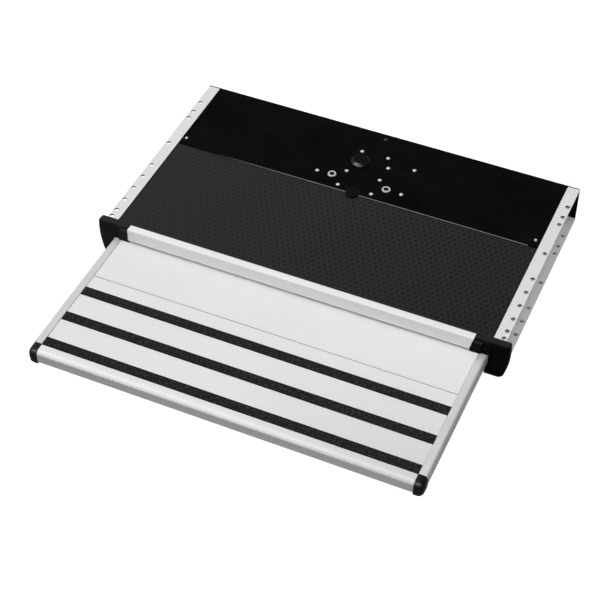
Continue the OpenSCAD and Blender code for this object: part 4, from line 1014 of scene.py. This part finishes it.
def makeWorld(look):  # lights matt surfaces from the front, and mirrors brightest at the back and left
    world = bpy.data.worlds.new("studio")
    bpy.context.scene.world = world
    world.use_nodes = True
    tree = world.node_tree
    world.cycles.sampling_method = "NONE"  # so that every ray that reaches it knows its own kind
    ray = addNode(tree, "LightPath").outputs
    at = axes(tree, "Generated")
    fill = product(tree, remap(tree, at["Y"], *look["fillFrom"], *look["fill"]),
                   remap(tree, at["Z"], *look["fillRise"], *look["fillHigh"]))
    mirror = product(tree, remap(tree, at["Y"], *look["mirrorFrom"], *look["mirror"]),
                     remap(tree, at["X"], *look["leanFrom"], *look["lean"]))
    strength = blend(tree, ray["Is Diffuse Ray"], mirror, fill)
    strength = blend(tree, ray["Is Camera Ray"], strength, look["worldSeen"])
    put(tree, strength, tree.nodes["Background"].inputs["Strength"])
    put(tree, grey(1.0), tree.nodes["Background"].inputs["Color"])


# softboxes that only show as highlights; the second is screened off from all but the pieces it names
softboxes = {
    "topSoftbox": {"place": (-0.2, 0.1, 2.4), "target": (0, -0.1, 0), "size": (3.0, 3.0), "energy": 11.0},
    "frontGlint": {
        "place": (-0.35, -1.5, 1.7), "target": (0, 0, 0), "size": (4.5, 0.35), "energy": 260.0,
        "only": ("shaft_dome_shell", "left_nose_cap_shell", "right_nose_cap_shell")},
}


def addSoftbox(name, look):
    light = bpy.data.lights.new(name, "AREA")
    light.shape = "RECTANGLE"
    light.size, light.size_y = look["size"]
    light.energy = look["energy"]
    lamp = bpy.data.objects.new(name, light)
    lamp.location = look["place"]
    toward = Vector(look["target"]) - Vector(look["place"])
    lamp.rotation_euler = toward.to_track_quat("-Z", "Y").to_euler()
    lamp.visible_diffuse = False
    bpy.context.scene.collection.objects.link(lamp)
    if "only" in look:
        lamp.light_linking.receiver_collection = bpy.data.collections.new(name + "Pieces")
        for piece in look["only"]:
            lamp.light_linking.receiver_collection.objects.link(bpy.data.objects[piece])


view = {
    "position": (0.642185, -1.59268, 1.559063), "azimuth": 24.034, "elevation": 45.582,
    "lens": 94.64, "sensor": 36.0,
}


def makeCamera(look):
    turn, tilt = math.radians(look["azimuth"]), math.radians(look["elevation"])
    back = Vector((math.sin(turn) * math.cos(tilt), -math.cos(turn) * math.cos(tilt), math.sin(tilt)))
    right = Vector((math.cos(turn), math.sin(turn), 0))
    camera = bpy.data.cameras.new("photoCamera")
    camera.lens = look["lens"]
    camera.sensor_width = look["sensor"]
    eye = bpy.data.objects.new("photoCamera", camera)
    facing = Matrix((right, back.cross(right), back)).transposed().to_4x4()
    eye.matrix_world = Matrix.Translation(look["position"]) @ facing
    bpy.context.scene.collection.objects.link(eye)
    bpy.context.scene.camera = eye


makeFloor(studio)
makeWorld(studio)
for boxName, look in softboxes.items():
    addSoftbox(boxName, look)
makeCamera(view)
bpy.context.scene.view_settings.view_transform = "Standard"
print("stage ready")
